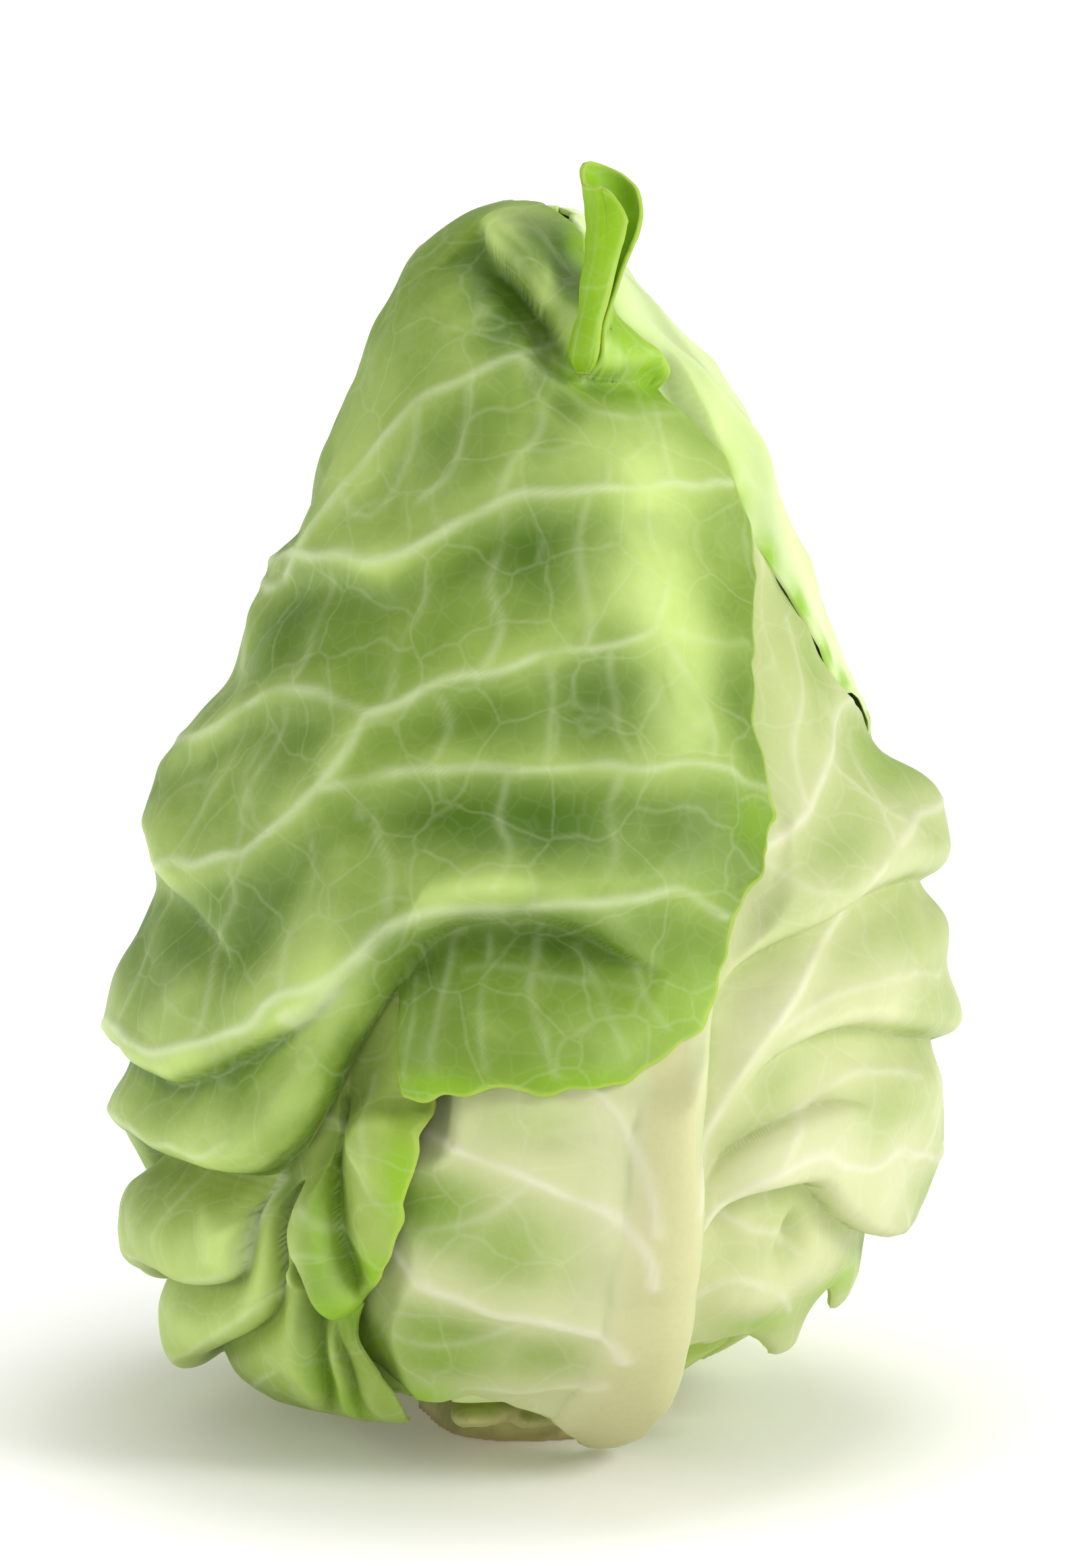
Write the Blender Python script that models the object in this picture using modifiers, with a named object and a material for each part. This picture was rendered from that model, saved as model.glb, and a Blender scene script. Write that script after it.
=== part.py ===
"""A pointed cabbage head that stands on its cut stalk: four wrapper leaves round a tight heart.

Blender 4.5, metres, +Z up. The origin lies on the stalk's cut face, under the head's middle, and -Y is
the front.
Every leaf lies on one smooth skin. A place on that skin is an azimuth in degrees, 0 at the front and
positive to the right (+X), and a climb, 0 at the stalk's rim and 100 at the tip of the head.
Lengths are named in millimetres and turned into metres where a mesh is made.
"""

import math

import bmesh
import bpy
import numpy as np
from mathutils import Vector

MM = 0.001

# The head's own size: skin rings as height, then the reach to the left, front, right and back.
SKIN_RINGS = (
    (2.0, 25, 25, 24, 25),
    (4.5, 38, 35, 26, 37),
    (10, 55, 48, 31, 50),
    (20, 66, 59, 47, 60),
    (36, 70, 67, 61, 66),
    (55, 71, 70, 67, 67),
    (75, 69, 68, 67, 66),
    (95, 65, 64, 65, 62),
    (112, 60, 58, 56, 57),
    (130, 51, 51, 47, 50),
    (150, 42, 43, 38, 42),
    (170, 33, 34, 31, 33),
    (186, 27, 26, 18.5, 25),
    (196, 22, 20, 9, 19),
    (202, 13, 12, 4.5, 12),
    (204.5, 0.6, 0.6, 0.6, 0.6),
)

LEAF_THICKNESS = 1.0
LAYER_STEP = 2.2
REACH = 45.0
CURVE_STEPS = 4

# Map of the skin on which each layer leaves room for the next: cells of one degree by half a climb.
MAP_AZIMUTHS = 360
MAP_CLIMBS = 201
MAP_SPREAD = 7
MAP_SOFTEN = 3
OPEN_SKY = 10.0
PRESS_SOFTNESS = 0.5

# A leaf's outline is four runs of (azimuth, climb): bottom and top from left to right, sides upwards.
# A fold or pleat line is (azimuth, climb, strength), and its raised side is on the left of its travel.

FRONT_LEAF = {
    "grid": (48, 36),
    "crowd": (1.25, 1.2),
    "lift": 1.2,
    "bottom": (
        (-178, 14), (-166, 8), (-150, 4.5), (-128, 3.5), (-118, 6), (-112, 13), (-106, 20), (-98, 24.5),
        (-88, 27), (-75, 28.2), (-60, 28.3), (-48, 28.5), (-42, 29.2), (-37, 31), (-33, 34), (-30, 38),
        (-26, 41.3), (-24, 42.4), (-22.6, 40.5), (-21, 37.5), (-19.8, 35.8), (-14, 35.9), (-8, 36.5),
        (0, 36.3), (8, 36.6), (13, 37.8), (17, 39), (20.5, 40.2),
    ),
    "right": (
        (20.5, 40.2), (23, 42), (26, 45), (28, 47.5), (33, 50), (38, 53), (39.5, 57), (40, 60), (43, 63),
        (47.5, 67), (52, 70), (54.5, 73), (52.5, 76), (50.4, 78.8), (49.2, 81.2), (47, 83.2), (37, 84.9),
        (28.6, 86.8), (22.6, 88.8), (20.6, 91.4), (24, 94.6),
    ),
    "top": ((-193, 94), (-160, 97), (-100, 98.6), (-50, 99), (-14, 98.9), (10, 97.8), (24, 94.6)),
    "left": ((-178, 14), (-188, 30), (-193, 50), (-195, 70), (-196, 84), (-193, 94)),
    "folds": (
        # The arch over the hollow runs down to the left into the long rolled lip.
        {
            "line": (
                (-118, 6, 0), (-112, 13, 0.5), (-106, 20.2, 0.8), (-98, 24.8, 1), (-88, 27.3, 1),
                (-75, 28.5, 1),
                (-60, 28.6, 1), (-48, 28.8, 1), (-42, 29.5, 1), (-37, 31.3, 1), (-33, 34.3, 1),
                (-30, 38.3, 1), (-26, 41.5, 1), (-22, 44, 1.05), (-18, 46.2, 1.15), (-12, 47.5, 1.25),
                (-5, 47.7, 1.25), (0, 47.5, 1.2), (5, 46.7, 1), (9, 45.5, 0.7), (13, 44.4, 0.3),
                (16, 43.6, 0),
            ),
            "rise": 2.6, "sink": 6.0, "lip": 5.0, "above": 11.0, "below": 11.0,
        },
        {
            "line": (
                (-125, 24, 0), (-112, 28, 0.6), (-100, 31.3, 0.9), (-90, 33, 1), (-80, 34.1, 1),
                (-70, 34, 1), (-60, 34, 1),
                (-55, 34.7, 1), (-48, 36.3, 1), (-40, 38.4, 1), (-34, 40.3, 1), (-31, 41.8, 0.9),
                (-28, 43.4, 0.6), (-24, 45.6, 0.3), (-20, 47.2, 0),
            ),
            "rise": 2.8, "sink": 3.2, "lip": 5.0, "above": 12.0, "below": 7.0,
        },
        {
            "line": (
                (-120, 45, 0), (-105, 46.5, 0.6), (-92, 47.6, 0.9), (-82, 48, 1), (-74, 47, 1),
                (-68, 45.9, 1), (-60, 45, 0.8),
                (-53, 44, 0.5), (-48, 42.6, 0.2), (-45, 41.4, 0),
            ),
            "rise": 1.6, "sink": 2.2, "lip": 4.0, "above": 9.0, "below": 8.0,
        },
        # The rolled crest that comes down to the tip, and on as the lower edge of the turned-over corner.
        {
            "line": (
                (-52, 95.2, 0), (-44, 94.9, 0.4), (-36, 94.1, 0.8), (-28, 93.1, 1.1), (-19.5, 92, 1.2),
                (-13, 90.9, 1.25), (-7, 89.5, 1.25), (-1, 87.9, 1.2), (2.4, 86.4, 1.1), (5.4, 85, 1),
                (9, 84.3, 0.9), (13, 84, 0.8), (18, 83.9, 0.8), (24.5, 84, 0.8), (34.5, 84, 0.8),
                (44, 83.6, 0.8), (56, 83, 0.8),
            ),
            "rise": 3.0, "sink": 4.2, "lip": 2.4, "above": 5.5, "below": 7.0,
        },
    ),
    "pleats": (
        # The soft ridge down the front, and the short one that carries the rolled tip.
        {
            "line": (
                (-45, 93, 0), (-32, 90, 0.6), (-17, 86.5, 1), (-3, 82, 1), (9, 73, 1), (15.5, 63.5, 1),
                (19, 57, 0.6), (21, 51, 0),
            ),
            "rise": 2.0, "sink": 0.0, "above": 13.0, "step": 13.0, "below": 13.0,
        },
        {
            "line": (
                (7, 83.9, 0), (8.4, 85.4, 0.8), (11, 87.4, 1), (14.5, 89.4, 1), (17, 91, 0.6), (18, 93, 0),
            ),
            "rise": 4.0, "sink": 0.0, "above": 3.6, "step": 3.0, "below": 3.0,
        },
        {
            "line": (
                (-115, 45, 0), (-95, 46.8, 0.6), (-75, 47.3, 1), (-60, 48, 1), (-50, 49.5, 1),
                (-44, 52, 1), (-38, 56, 1),
                (-34, 59.5, 1), (-30, 61, 1), (-20, 63.2, 1), (-10, 64.5, 1), (0, 65.2, 1), (12, 65.6, 1),
                (19, 66.5, 0.7), (30, 66, 0.4), (44, 64.8, 0),
            ),
            "rise": 1.5, "sink": 1.7, "above": 10.0, "step": 4.0, "below": 10.0,
        },
        {
            "line": (
                (-130, 65, 0), (-100, 68.2, 0.35), (-80, 69.2, 0.6), (-65, 70, 0.9), (-50, 70.7, 1.2),
                (-40, 70.6, 1.3),
                (-33, 71, 1.2), (-27, 72.3, 1), (-20, 73.8, 1), (-10, 75, 1), (0, 75.4, 1), (20, 76, 0.6),
                (35, 76, 0.3), (50, 75.8, 0),
            ),
            "rise": 1.5, "sink": 2.0, "above": 9.0, "step": 4.0, "below": 9.0,
        },
        {
            "line": (
                (-75, 69.5, 0), (-66, 71, 0.6), (-60, 73, 1), (-50, 77.3, 1), (-40, 80.5, 1),
                (-35, 82, 1), (-25, 84, 1),
                (-15, 85, 1), (-7, 84.6, 1), (5, 83, 0.6), (12, 81.8, 0.3), (24, 80.8, 0),
            ),
            "rise": 1.0, "sink": 1.4, "above": 10.0, "step": 4.5, "below": 11.0,
        },
        {
            "line": (
                (-38, 55, 0), (-34, 55.8, 0.7), (-30, 56.3, 1), (-20, 57.2, 1), (-10, 57.6, 1),
                (0, 57.5, 1),
                (15, 57.2, 1), (27, 57, 0.8), (33, 55.8, 0.5), (39, 55, 0),
            ),
            "rise": 1.5, "sink": 1.7, "above": 9.0, "step": 4.0, "below": 9.0,
        },
        {
            "line": (
                (-25, 46.5, 0), (-20, 47.9, 0.5), (-14, 49, 1), (-8, 49.4, 1), (0, 49.7, 1),
                (10, 50, 1), (17, 50, 1),
                (21, 48.6, 0.6), (26, 47.6, 0),
            ),
            "rise": 1.2, "sink": 0.4, "above": 7.0, "step": 4.0, "below": 6.0,
        },
        {
            "line": (
                (-125, 48, 0), (-92, 53, 0.8), (-78, 56, 1), (-70, 58, 1), (-62, 60.2, 1),
                (-55, 61, 1), (-45, 61.4, 0.8),
                (-37, 60.8, 0),
            ),
            "rise": 1.3, "sink": 1.8, "above": 9.0, "step": 4.0, "below": 8.0,
        },
        {
            "line": ((-200, 40, 0), (-180, 36, 0.8), (-160, 34, 1), (-140, 35, 1), (-127, 39, 0)),
            "rise": 1.6, "sink": 1.6, "above": 9.0, "step": 4.0, "below": 10.0,
        },
        {
            "line": ((-190, 66, 0), (-172, 61, 0.8), (-155, 58, 1), (-140, 57.5, 1), (-124, 60, 0)),
            "rise": 1.4, "sink": 1.5, "above": 9.0, "step": 4.0, "below": 9.0,
        },
        {
            "line": ((-186, 82, 0), (-165, 77, 0.8), (-145, 75, 1), (-122, 76, 0)),
            "rise": 1.2, "sink": 1.4, "above": 9.0, "step": 4.0, "below": 9.0,
        },
        {
            "line": (
                (-120, 2, 0), (-121, 8, 0.8), (-122, 16, 1.5), (-124, 35, 1.3), (-122, 55, 1),
                (-118, 75, 0.7), (-108, 92, 0),
            ),
            "rise": 3.0, "sink": 0.6, "above": 6.0, "step": 5.0, "below": 10.0,
        },
    ),
    "dents": (
        (-57, 41, 1.6, 9, 7), (-43, 45, -1.8, 8, 6), (-12, 70, 1.0, 14, 8), (-30, 78, 1.2, 16, 9),
        (12, 60, -0.8, 16, 7), (-86, 60, -2.0, 14, 6), (-87, 64.8, 1.4, 14, 6), (-88, 51, 2.4, 14, 7),
        (24, 46, -1.4, 7, 8), (-5, 40, 1.0, 16, 6), (-90, 38.5, 1.8, 12, 6), (-150, 55, 1.8, 20, 18),
        (-158, 30, 2.0, 18, 15), (-95, 80, 1.2, 16, 14), (-155, 78, 1.4, 16, 12), (1, 91.6, -2.2, 5, 5),
        (-62, 92, -1.8, 12, 9), (-90, 71.5, -2.4, 16, 6),
    ),
}

SIDE_LEAF = {
    "grid": (20, 18),
    "crowd": (1.0, 1.0),
    "lift": 0.6,
    "bottom": ((118, 7), (124, 4.5), (135, 3.6), (152, 3.4), (172, 4.5), (190, 7)),
    "right": ((190, 7), (199, 25), (203, 50), (204, 75), (198, 92)),
    "top": ((4, 90), (12, 95), (40, 97.8), (85, 98.4), (130, 98.2), (165, 96.6), (198, 92)),
    "left": (
        (118, 7), (119, 22), (116, 38), (108, 51), (96, 57.5), (86, 59.6), (79, 61.6), (73, 66), (66, 70),
        (58, 73.6), (49, 76.5), (38, 79.5), (24, 84), (4, 90),
    ),
    "folds": (),
    "pleats": (
        {
            "line": (
                (148, 2, 0), (148, 8, 0.8), (149, 18, 1.4), (150, 45, 1.1), (146, 70, 0.8),
                (125, 92, 0),
            ),
            "rise": 3.0, "sink": 0.6, "above": 6.0, "step": 5.0, "below": 10.0,
        },
        {
            "line": ((147, 38, 0), (132, 47, 0.8), (118, 56, 1), (104, 64, 1), (88, 73, 0.8), (66, 82, 0)),
            "rise": 1.3, "sink": 1.5, "above": 9.0, "step": 4.0, "below": 9.0,
        },
        {
            "line": ((148, 56, 0), (130, 66, 0.8), (112, 74, 1), (92, 82, 0.8), (70, 89, 0)),
            "rise": 1.2, "sink": 1.4, "above": 9.0, "step": 4.0, "below": 9.0,
        },
        {
            "line": ((147, 20, 0), (136, 27, 0.8), (128, 34, 1), (118, 42, 0.6), (112, 48, 0)),
            "rise": 1.5, "sink": 1.6, "above": 9.0, "step": 4.0, "below": 8.0,
        },
    ),
    "dents": (
        (72, 77, 1.2, 12, 9), (60, 84, 1.0, 10, 8), (95, 68, 1.0, 14, 9), (130, 82, 1.0, 12, 9),
        (170, 40, 1.6, 16, 18),
    ),
}

LOW_LEAF = {
    "grid": (27, 23),
    "crowd": (1.2, 1.0),
    "lift": 1.0,
    "bottom": (
        (-114, 8), (-102, 5), (-86, 4.1), (-70, 3.8), (-58, 4.0), (-47, 4.9), (-37, 6.8), (-27, 8.6),
    ),
    "right": (
        (-27, 8.6), (-25, 11.2), (-25, 14.2), (-27.4, 17), (-29, 19.2), (-27.6, 20.8), (-25.2, 22.4),
        (-22.6, 24.4), (-20.4, 26.4), (-19.6, 28.4), (-19, 30), (-17.6, 31.8), (-17.6, 33.4), (-16.2, 35.6),
        (-19, 39.5), (-23, 43),
    ),
    "top": ((-118, 31), (-95, 32), (-75, 33), (-58, 33.5), (-45, 35), (-38, 38), (-30, 42), (-23, 43)),
    "left": ((-114, 8), (-121, 19), (-118, 31)),
    "folds": (
        {
            "line": (
                (-125, 6, 0), (-112, 13, 0.8), (-106, 20.2, 1), (-98, 24.8, 1), (-88, 27.3, 1),
                (-75, 28.5, 1),
                (-60, 28.6, 1), (-48, 28.8, 1), (-42, 29.5, 1), (-37, 31.3, 1), (-33, 34.3, 1),
                (-30, 38.3, 1), (-26, 41.5, 1), (-22, 44, 0.5), (-18, 46.2, 0),
            ),
            "rise": 0.0, "sink": 7.0, "lip": 30.0, "above": 12.0, "below": 6.0,
        },
        {
            "line": (
                (-122, 11.5, 0), (-112, 12.8, 0.6), (-98, 15, 0.9), (-90, 16.8, 1), (-80, 18.6, 1),
                (-70, 19.6, 1),
                (-60, 19.9, 1), (-52, 20.7, 1), (-47.5, 21.8, 1), (-45, 23.3, 1), (-44, 25.2, 1),
                (-43.5, 27.2, 1), (-42, 29, 0.8), (-41, 31, 0),
            ),
            "rise": 2.8, "sink": 4.6, "lip": 4.6, "above": 9.0, "below": 4.5,
        },
        {
            "line": (
                (-122, 6.4, 0), (-112, 7, 0.6), (-100, 8, 1), (-90, 8.8, 1), (-80, 10, 1), (-70, 12, 1),
                (-60, 14.2, 1), (-50, 16.6, 1), (-44, 18.8, 1), (-41.3, 20.7, 1), (-40.6, 22.5, 1),
                (-40.6, 25, 1), (-40, 27, 1), (-38.3, 28.6, 0.7), (-36.3, 29.2, 0),
            ),
            "rise": 2.6, "sink": 4.2, "lip": 3.8, "above": 7.0, "below": 4.0,
        },
        {
            "line": (
                (-44, 8, 0), (-39.5, 11.2, 0.8), (-37, 14, 1), (-35.6, 17, 1), (-35.8, 20, 1),
                (-36.2, 22.2, 1),
                (-37.4, 23.4, 0.8), (-39, 23.6, 0),
            ),
            "rise": 1.4, "sink": 3.4, "lip": 2.4, "above": 4.0, "below": 3.0,
        },
        # The rounded foot of the ragged lobe, and the narrow folds under it.
        {
            "line": (
                (-39.6, 22.2, 0), (-37, 21.6, 0.7), (-35, 20.7, 1), (-33, 20, 1), (-30.6, 19.8, 1),
                (-28, 20.6, 1),
                (-26, 21.8, 0.8), (-23.6, 23.4, 0),
            ),
            "rise": 1.6, "sink": 3.4, "lip": 3.0, "above": 5.0, "below": 3.6,
        },
        {
            "line": ((-36.6, 8.4, 0), (-34, 10.8, 0.8), (-32.2, 14.4, 1), (-32, 17, 0.9), (-32.6, 19.4, 0)),
            "rise": 1.2, "sink": 2.6, "lip": 2.2, "above": 3.6, "below": 3.0,
        },
        {
            "line": (
                (-26.8, 21.2, 0), (-28, 23, 1), (-29.2, 25.4, 1), (-30, 28.6, 1), (-31, 31.4, 1),
                (-32.2, 34.4, 1),
                (-33.4, 37.5, 0),
            ),
            "rise": 1.8, "sink": 3.8, "lip": 2.8, "above": 5.0, "below": 3.6,
        },
    ),
    "pleats": (
        {
            "line": ((-34, 31, 0), (-30, 33, 0.6), (-25, 31.5, 1), (-22, 30, 0.6), (-19, 29, 0)),
            "rise": 0.9, "sink": 1.0, "above": 4.0, "step": 2.0, "below": 4.0,
        },
    ),
    "dents": (
        (-70, 24, 1.6, 14, 5), (-78, 12.6, 2.6, 12, 6), (-60, 8, 1.0, 10, 4), (-35, 25.5, 1.2, 4, 5),
        (-24, 28, 0.8, 4, 6), (-28.6, 12.4, 1.2, 3.6, 5),
    ),
}

RIB_LEAF = {
    "grid": (38, 27),
    "crowd": (0.85, 1.2),
    "lift": -1.0,
    "bottom": (
        (-33, 18.5), (-32, 16.5), (-30.5, 14.8), (-26, 12.8), (-20.5, 11.4), (-16.5, 11.4), (-13, 11.8),
        (-9, 10.8), (-4, 10), (0.5, 8.4), (5, 5.8), (10, 4), (17, 3.6), (22, 4.8), (24, 9.5), (25, 14),
        (28, 15), (31, 14.8), (34.5, 15.6), (38.5, 15.9), (43.5, 14.9), (48.5, 13.6),
        (52, 13.4), (54.6, 15), (56.6, 17.2), (59.5, 17.8), (64, 16.4), (68.5, 15.8), (71.6, 16.8),
        (76, 17.6), (82, 18.2), (92, 16.8), (108, 14.4), (125, 15),
    ),
    "right": ((125, 16), (132, 28), (131, 42), (122, 54), (106, 62)),
    "top": ((-10, 68), (12, 76), (36, 79), (58, 76.5), (82, 70), (106, 62)),
    "left": ((-33, 18.5), (-36, 30), (-31, 45), (-20, 58), (-10, 68)),
    "folds": (
        # The right flank of the midrib stands over the pleated half of the blade.
        {
            "line": (
                (30, 2, 0), (26.5, 7, 0.7), (24, 12, 1), (22.3, 18, 1), (21.3, 24, 1), (21, 30, 1),
                (21.8, 36, 1),
                (23.5, 41, 0.9), (26, 46, 0.6), (28, 50, 0.3), (30, 55, 0),
            ),
            "rise": 3.6, "sink": 2.6, "lip": 5.0, "above": 6.0, "below": 9.0,
        },
        {
            "line": (
                (23, 40.5, 0), (28, 43.6, 0.7), (35, 45.1, 1), (45, 46.1, 1), (55, 47.2, 1), (65, 47.4, 1),
                (75, 46.9, 1), (85, 46, 1), (100, 44.5, 1), (118, 42.5, 0.5), (130, 41, 0),
            ),
            "rise": 3.4, "sink": 3.0, "lip": 4.5, "above": 9.0, "below": 8.0,
        },
        {
            "line": (
                (27, 35.4, 0), (33, 37.6, 0.5), (40, 38.6, 0.9), (48, 38.7, 1), (55, 38, 1), (65, 36.7, 1),
                (75, 35.6, 1), (90, 34, 1), (110, 32, 0.6), (128, 30.5, 0),
            ),
            "rise": 2.8, "sink": 2.6, "lip": 3.6, "above": 7.0, "below": 7.0,
        },
        {
            "line": (
                (51, 33, 0), (47, 33.7, 0.5), (42, 34, 1), (36, 33.6, 1), (30, 32.8, 1),
                (25, 31.5, 0.8), (21.5, 29.4, 0),
            ),
            "rise": 1.6, "sink": 2.2, "lip": 3.0, "above": 5.0, "below": 5.0,
        },
        {
            "line": (
                (20.5, 23.5, 0), (25, 27.3, 0.8), (30, 28.5, 1), (38, 28.6, 1), (41, 28.1, 1),
                (45, 26.3, 1),
                (50, 24.7, 1), (60, 22.6, 1), (75, 21, 1), (90, 20.2, 0.8), (108, 19.4, 0.5), (124, 19, 0),
            ),
            "rise": 2.6, "sink": 3.2, "lip": 3.4, "above": 7.0, "below": 6.0,
        },
    ),
    "pleats": (
        {
            "line": ((6, 3, 1), (9, 12, 1), (11, 22, 1), (11.5, 32, 0.8), (14, 40, 0.5), (18, 50, 0)),
            "rise": 1.6, "sink": 0.0, "above": 7.0, "step": 7.0, "below": 7.0,
        },
        {
            "line": (
                (12.4, 23, 0), (11.6, 26, 0.9), (6.5, 28.8, 1), (1, 30, 1), (-5, 31.2, 1), (-10, 32.2, 1),
                (-16.5, 33.6, 1), (-24, 35.4, 0.5), (-32, 37.4, 0),
            ),
            "rise": 1.8, "sink": 0.6, "above": 7.0, "step": 4.0, "below": 7.0, "flip": True,
        },
        {
            "line": (
                (10.4, 17.2, 0), (9.4, 18.9, 0.8), (7, 20.3, 1), (-2.5, 21, 1), (-12.5, 22.2, 1),
                (-20.5, 24.5, 1), (-26, 27, 0.6), (-33, 29.6, 0),
            ),
            "rise": 1.5, "sink": 1.1, "above": 6.0, "step": 3.5, "below": 6.0, "flip": True,
        },
        {
            "line": ((8, 16, 0), (5, 15, 0.8), (0, 14.4, 1), (-6, 13.8, 0.8), (-13, 13.4, 0)),
            "rise": 1.2, "sink": 0.9, "above": 4.5, "step": 3.0, "below": 4.5, "flip": True,
        },
        {
            "line": (
                (30, 48, 0), (35, 50.8, 1), (40, 52.5, 1), (50, 55.3, 1), (58, 57.5, 1), (66, 59.6, 1),
                (78, 60.2, 0.8),
                (100, 59, 0),
            ),
            "rise": 1.4, "sink": 1.0, "above": 7.0, "step": 3.5, "below": 8.0,
        },
        {
            "line": ((22, 32, 0), (26, 36.5, 0.8), (33, 41, 1), (40, 44, 1), (46, 46, 0.5), (52, 48, 0)),
            "rise": 1.3, "sink": 0.8, "above": 4.0, "step": 3.0, "below": 5.0,
        },
    ),
    "dents": (
        (-5, 25.8, 1.8, 13, 6), (-14, 17.6, 1.6, 13, 6), (-20, 28.6, -2.0, 5, 5), (0, 33.6, -1.2, 7, 2.5),
        (39, 24.2, -5.0, 3.6, 5), (88, 51.5, 5.0, 10, 7), (88, 42.5, 2.0, 12, 5), (88, 26, 2.5, 14, 9),
        (50, 15, 3.0, 8, 5), (69, 17.4, 3.2, 9, 6), (60, 53, 1.4, 10, 7), (70, 33, 1.2, 12, 5),
        (56, 42.5, 1.0, 12, 5), (36, 20.5, 2.0, 7, 5),
        (100, 38, 1.4, 14, 6), (86, 59, 2.2, 9, 5), (76, 65, 2.2, 9, 5), (64, 70.6, 2.0, 9, 4),
    ),
}

# The tip of the front leaf is rolled up. Its spine runs from the turned-over corner up past the crown.
TIP_SPINE = (
    (5.4, -31.6, 180.2), (6.2, -33.0, 186.8), (7.6, -30.6, 193.0), (8.8, -27.0, 199.5), (9.1, -23.6, 206.0),
    (8.0, -21.4, 213.2),
)
TIP_RADIUS = (2.1, 1.8, 2.1, 2.5, 2.8, 2.5)
TIP_FLARE = (0.0, 0.0, 0.2, 1.0, 3.0, 5.5)
TIP_SEAM, TIP_END = 45.0, -285.0
TIP_FLARE_START = -140.0
# The rim: how far up the spine it is at each turn, tall at the back and low at the front.
TIP_RIM = (
    (-285, 0.6), (-262, 0.8), (-225, 0.93), (-180, 0.995), (-150, 1.0), (-110, 0.97), (-75, 0.92),
    (-30, 0.9), (0, 0.9), (25, 0.86), (45, 0.74),
)
TIP_HOOD = (-0.8, -1.5, 0.0)
TIP_GRID = (15, 9)
TIP_THICKNESS = 0.9

# The heart fills what the wrapper leaves enclose.
HEART_GRID = (24, 16)
HEART_SPAN = (11.0, 93.0)
HEART_GAP = 1.2
HEART_LEAVES = 5
HEART_RELIEF = 1.0
HEART_LEAST = 1.5

# The stalk is cut square and carries the stubs of leaves that were snapped off. A stub is its azimuth and
# climb on the skin, then its half width and half height.
STALK_RADIUS, STALK_HEIGHT = 20.0, 9.0
STALK_CENTRE = (-3.0, -6.0)
STALK_SIDES = 32
STALK_OVAL = 0.05
STUBS = (
    (-18.5, 7.6, 6.2, 2.8), (-6, 5, 5.2, 2.6), (8, 3.4, 5, 2.2), (62, 5, 6, 2.4), (100, 5, 6, 2.4),
)
STUB_INSET = 4.0
STUB_ROOT_HEIGHT = 4.2
STUB_SIDES = 12

LEAF_GREEN = (0.30, 0.47, 0.13, 1.0)
PALE_GREEN = (0.60, 0.66, 0.34, 1.0)
HEART_YELLOW = (0.62, 0.68, 0.28, 1.0)
STALK_CREAM = (0.62, 0.55, 0.33, 1.0)


def clear_scene():
    for obj in list(bpy.data.objects):
        bpy.data.objects.remove(obj)


def matte(name, colour, roughness):
    """A plain non-metal material."""
    material = bpy.data.materials.new(name)
    material.use_nodes = True
    shader = material.node_tree.nodes["Principled BSDF"]
    shader.inputs["Base Color"].default_value = colour
    shader.inputs["Roughness"].default_value = roughness
    shader.inputs["Metallic"].default_value = 0.0
    return material


def hermite(at, knots, values):
    """A smooth curve through values at the knots, read at many places."""
    slopes = np.gradient(values, knots)
    i = np.clip(np.searchsorted(knots, at, side="right") - 1, 0, len(knots) - 2)
    width = knots[i + 1] - knots[i]
    s = (at - knots[i]) / width
    rise = (3 - 2 * s) * s * s
    return (
        values[i] * (1 - rise)
        + values[i + 1] * rise
        + width * s * (1 - s) * ((1 - s) * slopes[i] - s * slopes[i + 1])
    )


def skin_knots():
    """The rings as an array, the climb of each, and the whole climb's length in millimetres."""
    rings = np.array(SKIN_RINGS, float)
    steps = np.hypot(np.diff(rings[:, 0]), np.diff(rings[:, 1:].mean(axis=1)))
    climbs = np.concatenate([[0.0], np.cumsum(steps)])
    return rings, 100 * climbs / climbs[-1]


RINGS, RING_CLIMBS = skin_knots()


def skin_point(azimuth, climb):
    """Points of the smooth skin, in millimetres."""
    height, left, front, right, back = (hermite(climb, RING_CLIMBS, RINGS[:, k]) for k in range(5))
    turn = np.radians(azimuth)
    reach = (
        (left + front + right + back) / 4
        + (front - back) / 2 * np.cos(turn)
        + (right - left) / 2 * np.sin(turn)
        + (front + back - right - left) / 4 * np.cos(2 * turn)
    )
    return np.stack([reach * np.sin(turn), -reach * np.cos(turn), height], axis=-1)


def skin_frame(azimuth, climb):
    """Points of the smooth skin and its outward normals."""
    azimuth, climb = np.broadcast_arrays(np.asarray(azimuth, float), np.asarray(climb, float))
    nudge = 0.4
    low, high = np.maximum(climb - nudge, 0), np.minimum(climb + nudge, 100)
    across = skin_point(azimuth + nudge, climb) - skin_point(azimuth - nudge, climb)
    up = skin_point(azimuth, high) - skin_point(azimuth, low)
    normal = np.cross(across, up)
    normal /= np.linalg.norm(normal, axis=-1, keepdims=True)
    return skin_point(azimuth, climb), normal


def through(points, steps=CURVE_STEPS):
    """A smooth open curve through hand-placed points, as an array."""
    knots = np.array(points, float)
    places = np.linspace(0, len(knots) - 1, steps * (len(knots) - 1) + 1)
    index = np.arange(len(knots), dtype=float)
    return np.stack([hermite(places, index, knots[:, k]) for k in range(knots.shape[1])], axis=-1)


def by_length(points, shares):
    """The smooth curve through points, read at shares of its length along the skin."""
    curve = through(points)
    placed = skin_point(curve[:, 0], curve[:, 1])
    steps = np.linalg.norm(np.diff(placed, axis=0), axis=1)
    length = np.concatenate([[0.0], np.cumsum(steps)])
    return np.stack([np.interp(shares * length[-1], length, curve[:, k]) for k in range(2)], axis=-1)


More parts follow.
